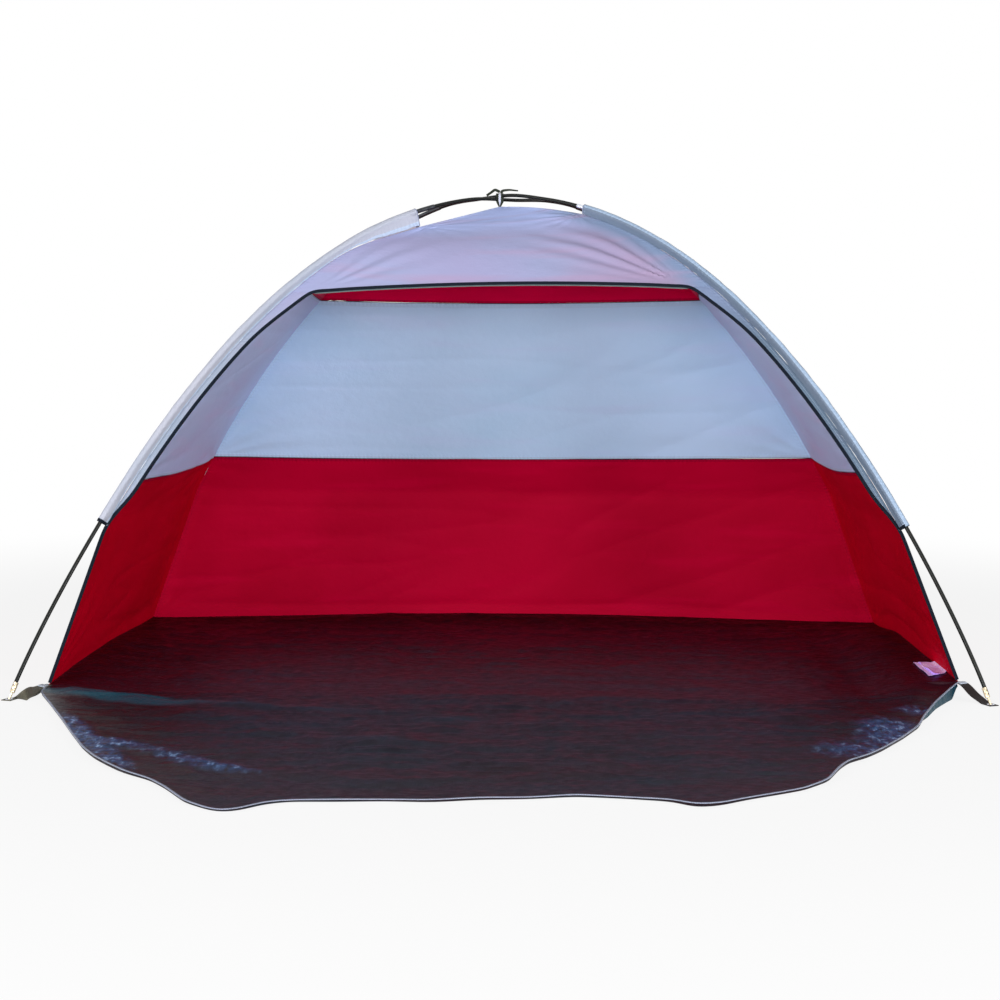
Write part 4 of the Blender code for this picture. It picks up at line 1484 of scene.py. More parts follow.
@dataclass
class Sleeves(Sewn):
    """The cloth channels along the poles, each with a web down to the roof seam and bound ends.

    Attributes:
        radius: The channel's outer radius.
        edge_radius: The radius of its sewn lower edge.
        cloth: The cloth's thickness.
        girth: The width that it was cut to; not used.
        arc: The share of a ring's points that go over the rod.
        ring_points: How many points a ring has.
    """

    radius: float = 0.0085
    edge_radius: float = 0.0012
    cloth: float = 0.0007
    girth: float = 0.088
    arc: float = 0.56
    ring_points: int = 30

    def rings(self, seam: Seam, stops: Grid, swell: float = 0.0, gathered: bool = True) -> Sheet:
        """The rings of a channel at distances from the crossing.

        Args:
            seam: The seam that it is sewn to.
            stops: The distances.
            swell: How much larger the rings are, for a binding over the cloth.
            gathered: Whether the channel has its gathers.

        Returns:
            The grid, one ring in each row.
        """
        leg = self.bow.leg(seam.end)
        middle, out = leg.at(stops), self.bow.outward(leg, stops)
        across = unit(np.cross(out, leg.direction(stops)))
        low = seam.drop(stops) - self.edge_radius * 0.5
        lean = np.arcsin((self.radius - self.edge_radius) / low)
        share = np.linspace(0, 1, self.ring_points, endpoint=False)
        noise = Noise(40 + seam.side.value * 3 + seam.end.value)
        top = share < self.arc
        angle = -lean[:, None] + (math.pi + 2 * lean[:, None]) * np.where(top, share / self.arc, 0)[None]
        over = self.radius + swell
        lead = np.stack([np.cos(angle) * over, np.sin(angle) * over], axis=-1)
        web = (share - self.arc) / (1 - self.arc)
        down = np.where(web < 0.5, web * 2, 2 - web * 2)[None]
        side = np.where(web < 0.5, -1.0, 1.0)[None]
        start = np.stack([np.cos(lean) * over, -np.sin(lean) * over], axis=-1)[:, None]
        foot = np.stack([np.full_like(low, self.edge_radius + swell), -low - swell], axis=-1)[:, None]
        line = start + (foot - start) * down[..., None]
        line[..., 0] *= side
        local = np.where(top[None, :, None], lead, line)
        if gathered:
            turn = share[None] * 2 * math.pi
            gathers = noise(stops[:, None], turn * 0.02, 0.028, 2) * 0.0011
            gathers = gathers + noise(stops[:, None], turn * 0.05 + 9, 0.15, 2) * 0.0016
            lift = 1 + gathers / self.radius * (0.4 + 0.6 * (1 - np.abs(np.cos(turn))))
            local = local * lift[..., None]
        points = middle[:, None] + across[:, None] * local[..., :1] + out[:, None] * local[..., 1:]
        points = points * seam.sign
        if seam.side.value * seam.end.value < 0:
            points = points[:, ::-1]
        round_it = share * (2 * math.pi * self.radius + 0.03)
        place = joined(stops[:, None], round_it[None])
        far = np.full(place.shape[:2], 0.3)
        web_edge = np.abs(share - (self.arc + 1) / 2)[None] * 0.08 + 0 * far
        ends = np.minimum(np.abs(stops - stops.min()), np.abs(stops - stops.max()))[:, None] + 0 * far
        return Sheet(points, place, np.stack([web_edge + 0.004, far, ends], axis=-1), ring=True)

    def build(self) -> None:
        """Make the four sleeves and the bindings at their ends."""
        for (side, end), seam in self.seams.items():
            first, last = seam.crown_gap, self.bow.leg(end).length - self.bow.sleeve_foot_gap
            length, word = last - first, corner_word(side, end)
            grid = self.rings(seam, np.linspace(first, last, int(length / 0.007)))
            piece = dress(sewn(f"channel_{word}", grid, self.cloth), SLEEVE_SILVER[side], [f"sleeve_{word}"])
            bindings = (("crown", first, 0.0022, HEM_TAPE), ("foot", last, -0.0065, BLACK_TAPE))
            for which, edge, inward, tape in bindings:
                stops = edge + inward * np.linspace(-0.1, 1.0, 5)
                band = self.rings(seam, np.sort(stops), self.cloth * 0.9, gathered=False)
                dress(sewn(f"channel_binding_{which}_{word}", band, self.cloth), tape)


@dataclass
class Walls(Sewn):
    """The walls and the roof behind the opening, in three bands of three panels each.

    Attributes:
        cloth: The cloth's thickness.
        low_height: The height of the seam between the lower and the middle band.
        high_drop: How far the upper seam, under the roof band, lies below the poles' crossing.
        left_rise: How much higher the back's upper seam lies at its left end than at its right one.
        right_rise: How far the right wall's middle seam rises towards the front.
        back_hollow: How far the back is drawn in between its seams.
        side_hollow: How far the sides are.
        footing: How the floor's border is pulled up off the ground.
        side_dip: How far the side walls' middle seam sags.
        front_rise: How much higher the sides' upper seams lie at the front.
        crown_gap: How far before the crown the panels end.
        cell: The size of a grid cell.
    """

    footing: Footing
    cloth: float = 0.0008
    low_height: float = 0.499
    high_drop: float = 0.279
    left_rise: float = 0.030
    right_rise: float = 0.030
    back_hollow: float = 0.020
    side_hollow: float = 0.012
    side_dip: float = 0.012
    front_rise: float = 0.036
    crown_gap: float = 0.006
    cell: float = 0.0095

    def surface(self, first: Route, last: Route, rows: Grid, shares: Grid, hollow: float) -> Grid:
        """Points between two seams, drawn in towards the tent's middle.

        Args:
            first: The seam at share 0.
            last: The seam at share 1.
            rows: Distances up the seams, in rows and columns.
            shares: The share of the way across, in columns.
            hollow: How far the middle is drawn in.

        Returns:
            Rows and columns of points.
        """
        start, finish = first.at(rows), last.at(rows)
        points = start + (finish - start) * shares[None, :, None]
        along = first.direction(rows, 0.02) + last.direction(rows, 0.02)
        inward = unit(np.cross(along, finish - start))
        depth = hollow * np.sin(math.pi * rows / first.length) * 4 * (shares * (1 - shares))[None]
        return points + inward * depth[..., None]

    def panel(self, name: str, finish: Finish, wall: str, band: str, starts: Callable[[Grid], Grid],
              ends: Callable[[Grid], Grid], seed: int) -> None:
        """One panel.

        Args:
            name: The piece's name.
            finish: Its cloth.
            wall: Which wall, which is left, right or back.
            band: Which band, which is wall_lower, wall_upper or roof.
            starts: The distance up the seams of its lower edge, from the shares across.
            ends: The distance of its upper edge.
            seed: The seed of its creases.
        """
        routes = {key: seam.route() for key, seam in self.seams.items()}
        if wall == "back":
            first, last = routes[Side.RIGHT, End.BACK], routes[Side.LEFT, End.BACK]
            hollow = self.back_hollow
        else:
            side = Side[wall.upper()]
            order = (End.FRONT, End.BACK) if side is Side.RIGHT else (End.BACK, End.FRONT)
            first, last = routes[side, order[0]], routes[side, order[1]]
            hollow = self.side_hollow
        wide = float(np.linalg.norm(first.at(starts(np.array([0.5]))) - last.at(starts(np.array([0.5])))))
        columns = max(8, int(wide / self.cell))
        shares = np.linspace(0, 1, columns + 1)
        low, high = starts(shares), ends(shares)
        count = max(6, int(float(np.max(high - low)) / self.cell))
        rows = low[None] + (high - low)[None] * np.linspace(0, 1, count + 1)[:, None]
        points = self.surface(first, last, rows, shares, hollow)
        if band == "wall_lower":
            foot = self.footing.pull(points[0, :, 0], points[0, :, 1])
            points[..., 2] += (foot - foot[0] - (foot[-1] - foot[0]) * shares)[None] * (1 - ease(rows / 0.14))
        width = np.linalg.norm(points[:, -1] - points[:, 0], axis=-1)
        across = (shares - 0.5)[None] * width[:, None]
        edge = np.minimum(shares, 1 - shares)[None] * width[:, None]
        edges = np.stack([rows - low[None], high[None] - rows, edge], axis=-1)
        edges[..., :2] += 0.3 * np.array([band == "wall_lower", band == "roof"])
        sheet = Sheet(points, np.stack([across, rows], axis=-1), edges)
        sheet.pushed(self.creases(across, rows, edges, band, seed))
        cut = (float(width.max()), float((high - low).max()))
        area = min(sheet.area(), cut[0] * cut[1])
        piece = dress(sewn(name, sheet, self.cloth), finish, [f"{wall}_{band}"])

    @staticmethod
    def creases(across: Grid, up: Grid, edges: Grid, band: str, seed: int) -> Grid:
        """The height of a panel's folds: broad slack, drag lines from its corners and fine creases.

        Args:
            across: Metres across the panel.
            up: Metres up the seams.
            edges: Metres from its edges.
            band: Which band.
            seed: The seed of its noise.

        Returns:
            Heights in rows and columns.
        """
        noise = Noise(seed)
        calm = ease(edges[..., 2] / 0.035) * (ease((up - up.min()) / 0.04) if band == "wall_lower" else 1.0)
        slack = noise(across, up * 1.6, 0.55, 2) * 0.0042
        drag = np.zeros_like(across)
        half, low, high = np.abs(across).max(), up.min(), up.max()
        for x in (-half, half):
            for y in (low, high):
                reach = np.hypot(across - x, up - y)
                angle = np.arctan2(up - y, across - x)
                fan = np.sin(angle * 17 + noise(across, up, 0.4, 2) * 3.0)
                drag += fan * np.exp(-reach / 0.20) * ease(reach / 0.05) * 0.0022
        slanted = across * 0.42 + up
        long_folds = noise.creases(slanted * 0.9, across * 0.22, 0.16, 5.0) * 0.0030
        level_folds = noise.creases(up, across * 0.12 + 5, 0.11, 7.0) * 0.0024
        strength = {"wall_lower": 1.15, "wall_upper": 0.62, "roof": 0.6}[band]
        low_pull = np.exp(-(up - low) / 0.10) * (1.0 if band == "wall_lower" else 0.0)
        height = slack + drag + (long_folds + level_folds * (1 + 1.4 * low_pull)) * strength
        return height * calm

    def build(self) -> None:
        """Make the nine panels."""
        plain = self.seams[Side.LEFT, End.BACK].route()
        low, high = plain.at_height(self.low_height), plain.at_height(self.bow.rise - self.high_drop)
        left_high = high + self.left_rise
        front_high = plain.at_height(self.bow.rise - self.high_drop + self.front_rise)
        top = plain.length - self.crown_gap

        def level(distance: float) -> Callable[[Grid], Grid]:
            """An edge at the same distance all the way across."""
            return lambda shares: np.full_like(shares, distance)

        def tilted(shares: Grid) -> Grid:
            """The back wall's upper seam, which rises a little to the left."""
            return high + self.left_rise * shares

        def dipped(back_first: bool) -> Callable[[Grid], Grid]:
            """A side wall's middle seam, which drops fast from the back corner and then runs level.

            Args:
                back_first: Whether the shares across start at the back.

            Returns:
                The seam's distances, from the shares across.
            """
            rise = 0.0 if back_first else self.right_rise

            def to_front(shares: Grid) -> Grid:
                """The shares of the way to the front."""
                return shares if back_first else 1 - shares

            def dip(share: Grid) -> Grid:
                """How far the seam sags at shares of the way to the front."""
                return self.side_dip * (1 - (1 - share) ** 7) * (1 - ease((share - 0.45) / 0.55))

            return lambda shares: low - dip(to_front(shares)) + rise * to_front(shares)

        def raised(back_first: bool) -> Callable[[Grid], Grid]:
            """A side wall's upper seam, which rises from the back corner to the awning's corner."""
            start = left_high if back_first else high
            return lambda shares: start + (front_high - start) * (shares if back_first else 1 - shares)

        for number, wall in enumerate(("left", "right", "back")):
            middle = level(low) if wall == "back" else dipped(wall == "left")
            upper = tilted if wall == "back" else raised(wall == "left")
            silver, red = (BACK_SILVER, DEEP_RED) if wall == "back" else (SIDE_SILVER, SIDE_RED)
            self.panel(f"{wall}_lower_cloth", red, wall, "wall_lower", level(0.0), middle, 11 + number)
            self.panel(f"{wall}_upper_cloth", silver, wall, "wall_upper", middle, upper, 21 + number)
            self.panel(f"{wall}_roof_cloth", CAP_RED, wall, "roof", upper, level(top), 31 + number)


@dataclass(frozen=True)
class Fan:
    """Folds that fan out from a corner of the awning.

    Attributes:
        reach: How far from the corner they are highest.
        height: How high they stand.
        count: How many there are to a whole turn, times 2 pi.
    """

    reach: float
    height: float
    count: float


@dataclass
class Front(Sewn):
    """The awning over the opening with its strip down each pole, and the tape that binds the opening.

    Attributes:
        cloth: The cloth's thickness.
        corner_drop: How far the awning's corners lie below the poles' crossing.
        arch: How far the awning's edge arches up between them.
        strip: The strip's width.
        strip_foot: Its width at its foot.
        strip_taper: The length over which it grows.
        strip_corner: How much wider it is at the awning's corner.
        corner_reach: The length over which that grows.
        strip_tuck: How far its upper end is tucked in behind the awning.
        crown_gap: How far before the crown the cloth ends.
        billow: How far the awning sags between its seams.
        fans: The folds from each of its corners.
        fan_lean: The angle up from the edge at which they are highest.
        tape: The binding's width and thickness.
        cell: The size of a grid cell.
    """

    cloth: float = 0.0008
    corner_drop: float = 0.262
    arch: float = 0.023
    strip: float = 0.019
    strip_foot: float = 0.003
    strip_taper: float = 0.10
    strip_corner: float = 0.014
    corner_reach: float = 0.20
    strip_tuck: float = 0.0011
    crown_gap: float = 0.006
    billow: float = 0.006
    fans: Mapping[Side, Fan] = field(default_factory=lambda: {
        Side.LEFT: Fan(reach=0.17, height=0.0024, count=24),
        Side.RIGHT: Fan(reach=0.21, height=0.0044, count=33)})
    fan_lean: float = 0.72
    tape: Pair = (0.0086, 0.0026)
    cell: float = 0.0085

    def __post_init__(self) -> None:
        """Set out the two front seams and the awning's corners."""
        self.left = self.seams[Side.LEFT, End.FRONT].route()
        self.right = self.seams[Side.RIGHT, End.FRONT].route()
        self.foot = self.seams[Side.LEFT, End.FRONT].sleeve_foot
        plain = self.seams[Side.LEFT, End.BACK].route()
        self.corner = plain.at_height(self.bow.rise - self.corner_drop)
        self.corner_share = float(self.inner(np.array(self.corner)))

    def point(self, distance: Grid, across: Grid) -> Grid:
        """Points of the front.

        Args:
            distance: Distances up the seams.
            across: Signed shares of the way across.

        Returns:
            The points.
        """
        left, right = self.left.at(distance), self.right.at(distance)
        share = (np.asarray(across)[..., None] + 1) / 2
        return left + (right - left) * share

    def inner(self, distance: Grid) -> Grid:
        """The share across at which a strip ends.

        Args:
            distance: Distances up the seams.

        Returns:
            The shares.
        """
        along = self.right.direction(distance, 0.02)
        slope = along[..., 2] / np.hypot(along[..., 0], along[..., 2])
        grown = ease((distance - self.foot) / self.strip_taper)
        corner = ease((distance - self.corner) / self.corner_reach + 1) * self.strip_corner
        width = (self.strip_foot + (self.strip - self.strip_foot) * grown + corner) / slope
        return 1 - width / self.right.at(distance)[..., 0]

    def edge(self, across: Grid) -> Grid:
        """How far up the seam the awning's front edge lies."""
        share = np.clip(np.abs(across) / self.corner_share, 0, 1)
        return self.corner + self.arch * (1 - share ** 2) * (1 - ease((share - 0.80) / 0.20) * 0.5)

    def cut(self, name: str, distances: Grid, shares: Grid,
            tuck: float = 0.0) -> tuple[Piece, float]:
        """One cut piece of the front's cloth.

        Args:
            name: The piece's name.
            distances: Metres up the seams, in rows and columns.
            shares: Signed shares of the way across, in rows and columns.
            tuck: How far its upper end is tucked in behind the next cut.

        Returns:
            The piece and its area.
        """
        half = np.linalg.norm(self.right.at(distances) - self.left.at(distances), axis=-1) / 2
        across = shares * half
        edge = (1 - np.abs(shares)) * half
        far = np.full(across.shape, 0.3)
        sheet = Sheet(self.point(distances, shares), np.stack([across, distances], axis=-1),
                      np.stack([far, far, edge], axis=-1))
        inward = tuck * ease((distances - self.corner + 0.012) / 0.010)
        sheet.pushed(self.folds(across, distances, edge, shares) - inward)
        return sewn(name, sheet, self.cloth), sheet.area()

    def awning(self) -> None:
        """The awning, with the binding round the opening."""
        top = self.right.length - self.crown_gap
        rows = int((top - self.corner) / self.cell)
        centre = np.linspace(-1, 1, int(2 * float(self.right.at(self.corner)[0]) / self.cell) + 1)
        centre = np.sort(np.concatenate([centre, [-self.corner_share, self.corner_share]]))
        start = np.where(np.abs(centre) > self.corner_share, self.corner, self.edge(centre))
        distances = start[None] + (top - start)[None] * np.linspace(0, 1, rows + 1)[:, None]
        piece, area = self.cut("awning_cloth", distances, np.tile(centre, (rows + 1, 1)))
        dress(piece, AWNING_SILVER, ["awning"])
        flat = (float(2 * self.right.at(self.corner)[0]), float(top - self.corner))
        self.bind()

    def strips(self) -> None:
        """The strip down each pole."""
        low = np.linspace(self.foot, self.corner + 0.010, int((self.corner - self.foot) / self.cell) + 1)
        inner = self.inner(np.minimum(low, self.corner))
        for side in Side:
            shares = side.value * (1 - (1 - inner)[:, None] * np.linspace(0, 1, 6)[None])
            shares = shares if side is Side.LEFT else shares[:, ::-1]
            rows = np.tile(low[:, None], (1, 6))
            piece, area = self.cut(f"front_strip_{side.name.lower()}", rows, shares, self.strip_tuck)
            dress(piece, STRIP_SILVER[side])
            flat = (self.strip + 0.006, float(low[-1] - low[0]))
            min(area, flat[0] * flat[1])

    def folds(self, across: Grid, up: Grid, edge: Grid, shares: Grid) -> Grid:
        """The height of the awning's folds, which fan out from its corners towards the crown.

        Args:
            across: Metres across.
            up: Metres up the seams.
            edge: Metres from the nearest pole seam.
            shares: Signed shares across.

        Returns:
            Heights in rows and columns.
        """
        noise = Noise(77)
        above = ease((up - self.corner + 0.02) / 0.05)
        total = noise(across, up * 1.5, 0.5, 2) * 0.003 * above
        total -= self.billow * (1 - shares ** 2) * above * ease((self.right.length - up) / 0.2)
        corner_x = self.corner_share * float(self.right.at(self.corner)[0])
        for side in Side:
            x, y = side.value * corner_x, self.corner
            reach = np.hypot(across - x, up - y)
            angle = np.arctan2(up - y, (x - across) * side.value)
            own = self.fans[side]
            fan = np.sin(angle * own.count + noise(across, up, 0.3, 2) * 2.6 + side.value)
            window = ease(reach / 0.06) * bell(reach, own.reach, own.reach)
            steep = bell(angle, self.fan_lean, 0.30)
            total += fan * window * steep * own.height * above
            crown = self.seams[side, End.FRONT].sleeve_crown
            end_x = side.value * float(self.right.at(crown)[0])
            near = np.hypot(across - end_x, (up - crown) * 1.2)
            turn = np.arctan2(up - crown, (end_x - across) * side.value)
            total += np.sin(turn * 13 + side.value) * np.exp(-near / 0.07) * ease(near / 0.02) * 0.0020
        pucker = np.sin(up * 2 * math.pi / 0.021 + noise(up, across * 4, 0.08, 2) * 4) * np.exp(-edge / 0.02)
        return (total + pucker * 0.0007) * ease(edge / 0.018)

    def bind(self) -> list[Piece]:
        """The binding round the opening and the pale facing that shows under it.

        Returns:
            Both pieces.
        """
        halves = [self.half_edge(side) for side in Side]
        path = self.smoothed(np.concatenate([halves[0], halves[1][::-1][1:]]))
        facing = self.facing(path)
        wide = unit(np.cross(facing, travel(path)))
        binding = ribbon("opening_tape", path + wide * 0.0022, wide, facing, self.tape, 14)
        dress(binding, BLACK_TAPE, ["opening_binding"])
        cross = np.linspace(-self.corner_share * 0.985, self.corner_share * 0.985, 120)
        line = self.point(self.edge(cross), cross)
        facing = self.facing(line)
        wide = unit(np.cross(facing, travel(line)))
        line = line - wide * 0.0025 - facing * 0.0026
        piece = ribbon("awning_hem_facing", line, wide, facing, (0.0044, 0.0010), 10)
        dress(piece, FACING_TAPE)
        return [binding, piece]

    def half_edge(self, side: Side) -> Grid:
        """One half of the opening's edge.

        Args:
            side: Which half.

        Returns:
            Its points from the floor to the middle of the awning.
        """
        seam = self.left if side is Side.LEFT else self.right
        rise = np.linspace(0.004, self.foot, 60)[:-1]
        beside = 0.0026 / math.sqrt(2)
        low = seam.at(rise) + np.array([-side.value * beside, -beside, 0.0])
        stops = np.linspace(self.foot, self.corner, 110)
        cross = np.linspace(self.corner_share, 0, 90)[1:]
        return np.concatenate([low, self.point(stops, side.value * self.inner(stops)),
                               self.point(self.edge(cross), side.value * cross)])

    @staticmethod
    def smoothed(path: Grid, turns: int = 12) -> Grid:
        """A path with its corners eased, and its two ends kept.

        Args:
            path: The path, which is changed.
            turns: How often it is eased.

        Returns:
            The path.
        """
        for _ in range(turns):
            path[1:-1] = path[1:-1] / 2 + (path[:-2] + path[2:]) / 4
        return path

    def facing(self, path: Grid) -> Grid:
        """The outward direction of the front, which leans back with the roof.

        Args:
            path: Points of the front.

        Returns:
            The unit directions there.
        """
        lean = np.interp(path[:, 2], self.right.points[:, 2],
                         np.gradient(self.right.points[:, 1]) / np.gradient(self.right.points[:, 2]))
        return unit(np.stack([0 * lean, -np.ones_like(lean), lean], axis=-1))

    def build(self) -> None:
        """Make the front's three cuts and what binds them."""
        self.awning()
        self.strips()


@dataclass(frozen=True)
class Patch:
    """An oval on the ground that fades out to its rim.

    Attributes:
        middle: Its middle.
        reach: Its half length and half width.
        turn: How far its length is turned from +X to +Y.
        level: How strong it is in the middle.
    """

    middle: Pair
    reach: Pair
    turn: float = 0.0
    level: float = 1.0

    def weight(self, x: Grid, y: Grid) -> Grid:
        """How strong the oval is at places on the ground.

        Args:
            x: Metres to the right.
            y: Metres to the back.

        Returns:
            The oval's strength.
        """
        away_x, away_y = x - self.middle[0], y - self.middle[1]
        along = away_x * math.cos(self.turn) + away_y * math.sin(self.turn)
        across = away_y * math.cos(self.turn) - away_x * math.sin(self.turn)
        return self.level * np.exp(-(along / self.reach[0]) ** 2 - (across / self.reach[1]) ** 2)


@dataclass
class Ground(Framed):
    """The floor and the apron as one sheet, joined at the door line, and the hem round the apron.

    The apron is drawn as a fan of columns from the door line to its own free edge.

    Attributes:
        footing: How the floor's border is pulled up.
        sheet: The sheet's thickness.
        lay: The height of its middle above the ground where it lies flat.
        corner: How far to each side the apron reaches at the door line.
        bend: The length over which the sheet would bend at the door line; not used.
        tape: The hem's width and thickness.
        columns: How many columns the sheet has.
        cell: The size of a grid cell from front to back.
        edge_points: The apron's free edge from left to right.
        glare: Where the crumpled laminate mirrors the light.
        folds: Where it is creased, sharply beside the door's left corner and softly across the apron; the
            same places carry the painted sky reflection on the creases.
        fold_height: How high a crease stands for each unit of its level.
        by_label: Where the sheet lies flat under the label.
    """

    footing: Footing
    sheet: float = 0.0009
    lay: float = 0.0012
    corner: float = 1.090
    bend: float = 0.06
    tape: Pair = (0.0044, 0.0018)
    columns: int = 330
    cell: float = 0.0092
    edge_points: tuple[Place, ...] = (
        (-1.093, -0.603, .008), (-1.096, -0.668, .007), (-1.037, -0.806, .007), (-0.962, -0.986, .007),
        (-0.899, -1.142, .007), (-0.841, -1.281, .007), (-0.792, -1.379, .009), (-0.751, -1.441, .009),
        (-0.703, -1.501, .007), (-0.642, -1.558, .006), (-0.600, -1.622, .006), (-0.541, -1.730, .006),
        (-0.498, -1.773, .005), (-0.473, -1.794, .005), (-0.451, -1.793, .005), (-0.432, -1.781, .006),
        (-0.396, -1.735, .006), (-0.355, -1.714, .005), (-0.268, -1.711, .006), (-0.181, -1.703, .005),
        (-0.092, -1.707, .006), (-0.006, -1.684, .006), (0.082, -1.676, .005), (0.171, -1.653, .006),
        (0.259, -1.665, .005), (0.346, -1.684, .006), (0.387, -1.725, .008), (0.431, -1.711, .007),
        (0.486, -1.664, .006), (0.545, -1.624, .006), (0.600, -1.584, .006), (0.655, -1.512, .007),
        (0.693, -1.405, .008), (0.721, -1.345, .008), (0.762, -1.301, .008), (0.803, -1.237, .008),
        (0.871, -1.109, .007), (0.928, -0.988, .008), (0.957, -0.894, .010), (1.009, -0.758, .016),
        (1.033, -0.709, .020), (1.067, -0.643, .027), (1.094, -0.603, .035),
    )
    glare: tuple[Patch, ...] = (
        Patch((0.86, -1.06), (0.070, 0.13), 0.0, 1.0), Patch((0.75, -1.24), (0.10, 0.10), 0.8, 0.6),
        Patch((0.95, -0.84), (0.05, 0.06), 0.8, 0.55), Patch((-0.90, -1.10), (0.16, 0.030), -1.15, 1.0),
        Patch((-0.76, -1.38), (0.14, 0.030), -1.10, 0.8), Patch((-0.79, -1.24), (0.10, 0.035), -0.4, 0.7),
        Patch((-0.60, -1.40), (0.16, 0.040), -0.75, 0.6), Patch((-0.50, -1.48), (0.12, 0.030), -0.3, 0.35),
    )
    folds: tuple[Patch, ...] = (
        Patch((-1.00, -0.700), (0.13, 0.036), -0.5, 1.2), Patch((-0.86, -0.770), (0.13, 0.044), -0.55, 1.1),
        Patch((-0.72, -0.83), (0.14, 0.034), -0.15, 0.5), Patch((-0.42, -0.86), (0.30, 0.034), -0.22, 0.46),
        Patch((0.02, -1.00), (0.34, 0.038), -0.18, 0.44), Patch((-0.25, -1.20), (0.30, 0.036), -0.28, 0.42),
        Patch((0.42, -1.14), (0.26, 0.032), 0.20, 0.40), Patch((0.10, -1.40), (0.28, 0.030), -0.10, 0.38),
    )
    fold_height: float = 0.009
    by_label: Patch = Patch((1.04, -0.43), (0.11, 0.19))

    def __post_init__(self) -> None:
        """Round the apron's edge."""
        line = Route(np.array(self.edge_points))
        soft = line.at(np.linspace(0, line.length, 700))
        self.edge = Route(Front.smoothed(soft, 22))

    def crumple(self, x: Grid, y: Grid) -> Grid:
        """The height of the sheet's crinkles, cross creases and folds, never below 0.

        Args:
            x: Metres to the right.
            y: Metres to the back.

        Returns:
            Heights over where the sheet lies flat.
        """
        noise, other = Noise(5), Noise(6)
        total = noise.creases(x, y * 1.5, 0.11, 3.0) * 0.0036
        total += other.creases(x * 0.45, y * 1.9, 0.10, 5.0) * 0.0046
        total += np.maximum(noise(x * 0.55, y * 1.4, 0.42, 2), 0) * 0.0055
        total += self.fold_height * self.weight(self.folds, x, y)
        rough = other.creases(x, y, 0.045, 2.0) * 0.0050 + np.maximum(noise(x, y, 0.16, 2), 0) * 0.008
        total += np.minimum(self.weight(self.glare, x, y), 1.0) * rough
        return total * (1 - np.minimum(self.by_label.weight(x, y) * 1.4, 1.0))

    @staticmethod
    def weight(patches: Sequence[Patch], x: Grid, y: Grid) -> Grid:
        """The sum of some patches at places on the ground."""
        return sum(patch.weight(x, y) for patch in patches)

    def floor(self, x: Grid, y: Grid) -> Grid:
        """The height of the floor's middle over the ground.

        Args:
            x: Metres to the right.
            y: Metres to the back.

        Returns:
            Heights, never below the sheet's own half thickness.
        """
        inside = np.minimum(self.bow.half_width - np.abs(x), self.bow.half_depth - y)
        turned_up = 0.0046 * (1 - ease((inside - 0.003) / 0.012)) * ease((y + self.bow.half_depth) / 0.06)
        settled = ease(inside / 0.03) * (0.3 + 0.7 * ease((y + self.bow.half_depth) / 0.10))
        return self.lay + self.crumple(x, y) * settled + self.footing.pull(x, y) + turned_up

    def apron(self, x: Grid, y: Grid, edge: Grid, away: Grid) -> Grid:
        """The height of the apron's middle over the ground.

        Args:
            x: Metres to the right.
            y: Metres to the back.
            edge: The height of its free edge in each column.
            away: Metres from that edge.

        Returns:
            Heights.
        """
        out = -self.bow.half_depth - y
        door = self.footing.pull(x, np.full_like(y, -self.bow.half_depth)) * (1 - ease(out / 0.35))
        settled = 0.3 + 0.7 * ease(out / 0.10)
        settled = settled * ease((self.corner - np.abs(x)) / 0.03)
        inner = self.lay + self.crumple(x, y) * settled + door
        wave = np.maximum(Noise(8)(x, y, 0.22, 2), 0) * 0.006 * ease(away / 0.02) * ease(out / 0.15)
        near = (1 - ease(away / 0.13)) * ease(out / 0.004)
        return (inner + wave) * (1 - near) + edge * near

    def build(self) -> None:
        """Make the ground sheet, its hem and the dark strip hung below the hem that stands in for its shade.
        """
        door = -self.bow.half_depth
        share = np.linspace(0.0015, 0.9985, self.columns)
        x = (share * 2 - 1) * self.corner
        far_edge = self.edge.at(share * self.edge.length)
        wide = self.bow.half_width - 0.0015
        floor_x = np.concatenate([[-wide], x, [wide]])
        floor_y = np.linspace(self.bow.half_depth - 0.0015, door, int(2 * self.bow.half_depth / self.cell))
        across, deep = np.meshgrid(floor_x, floor_y)
        floor = np.stack([across, deep, self.floor(across, deep)], axis=-1)
        down = np.linspace(0, 1, int(1.12 / self.cell) + 1)[1:, None]
        start = np.stack([x, np.full_like(x, door)], axis=-1)
        place = start[None] + (far_edge[:, :2] - start)[None] * down[..., None]
        away = np.linalg.norm(far_edge[:, :2] - start, axis=-1)[None] * (1 - down)
        height = self.apron(place[..., 0], place[..., 1], far_edge[None, :, 2], away)
        apron = np.concatenate([place, height[..., None]], axis=-1)
        apron = np.concatenate([apron[:, :1], apron, apron[:, -1:]], axis=1)
        points = np.concatenate([floor, apron])
        keep = np.ones((points.shape[0] - 1, points.shape[1] - 1), bool)
        keep[len(floor_y) - 1:, 0] = False
        keep[len(floor_y) - 1:, -1] = False
        to_hem = np.concatenate([np.full(floor.shape[:2], 0.3), np.pad(away, ((0, 0), (1, 1)), "edge")])
        # These carry the painted glare and the painted sky reflection on the creases into the sheet's finish.
        bright = np.minimum(self.weight(self.glare, points[..., 0], points[..., 1]), 1.0)
        creased = self.weight(self.folds, points[..., 0], points[..., 1]) * (points[..., 1] < door)
        sheet = Sheet(points[:, ::-1], points[:, ::-1, :2],
                      np.stack([creased, bright, to_hem], axis=-1)[:, ::-1], keep[:, ::-1])
        area = sheet.area()
        piece = sewn("ground_sheet", sheet, self.sheet)
        self.lay_down(piece, GROUND, ["floor", "apron"])
        self.hem()
        self.shadow_skirt()

    def lay_down(self, piece: Piece, finish: Finish, nodes: Sequence[str] = ()) -> None:
        """Give a piece its finish, and bake its place into its points.

        Args:
            piece: The piece.
            finish: Its finish.
            nodes: The CAD nodes that it stands for.
        """
        paint(piece, finish, nodes)
        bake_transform(piece)
        LOG.info("%s bends between tent and apron", piece.name)

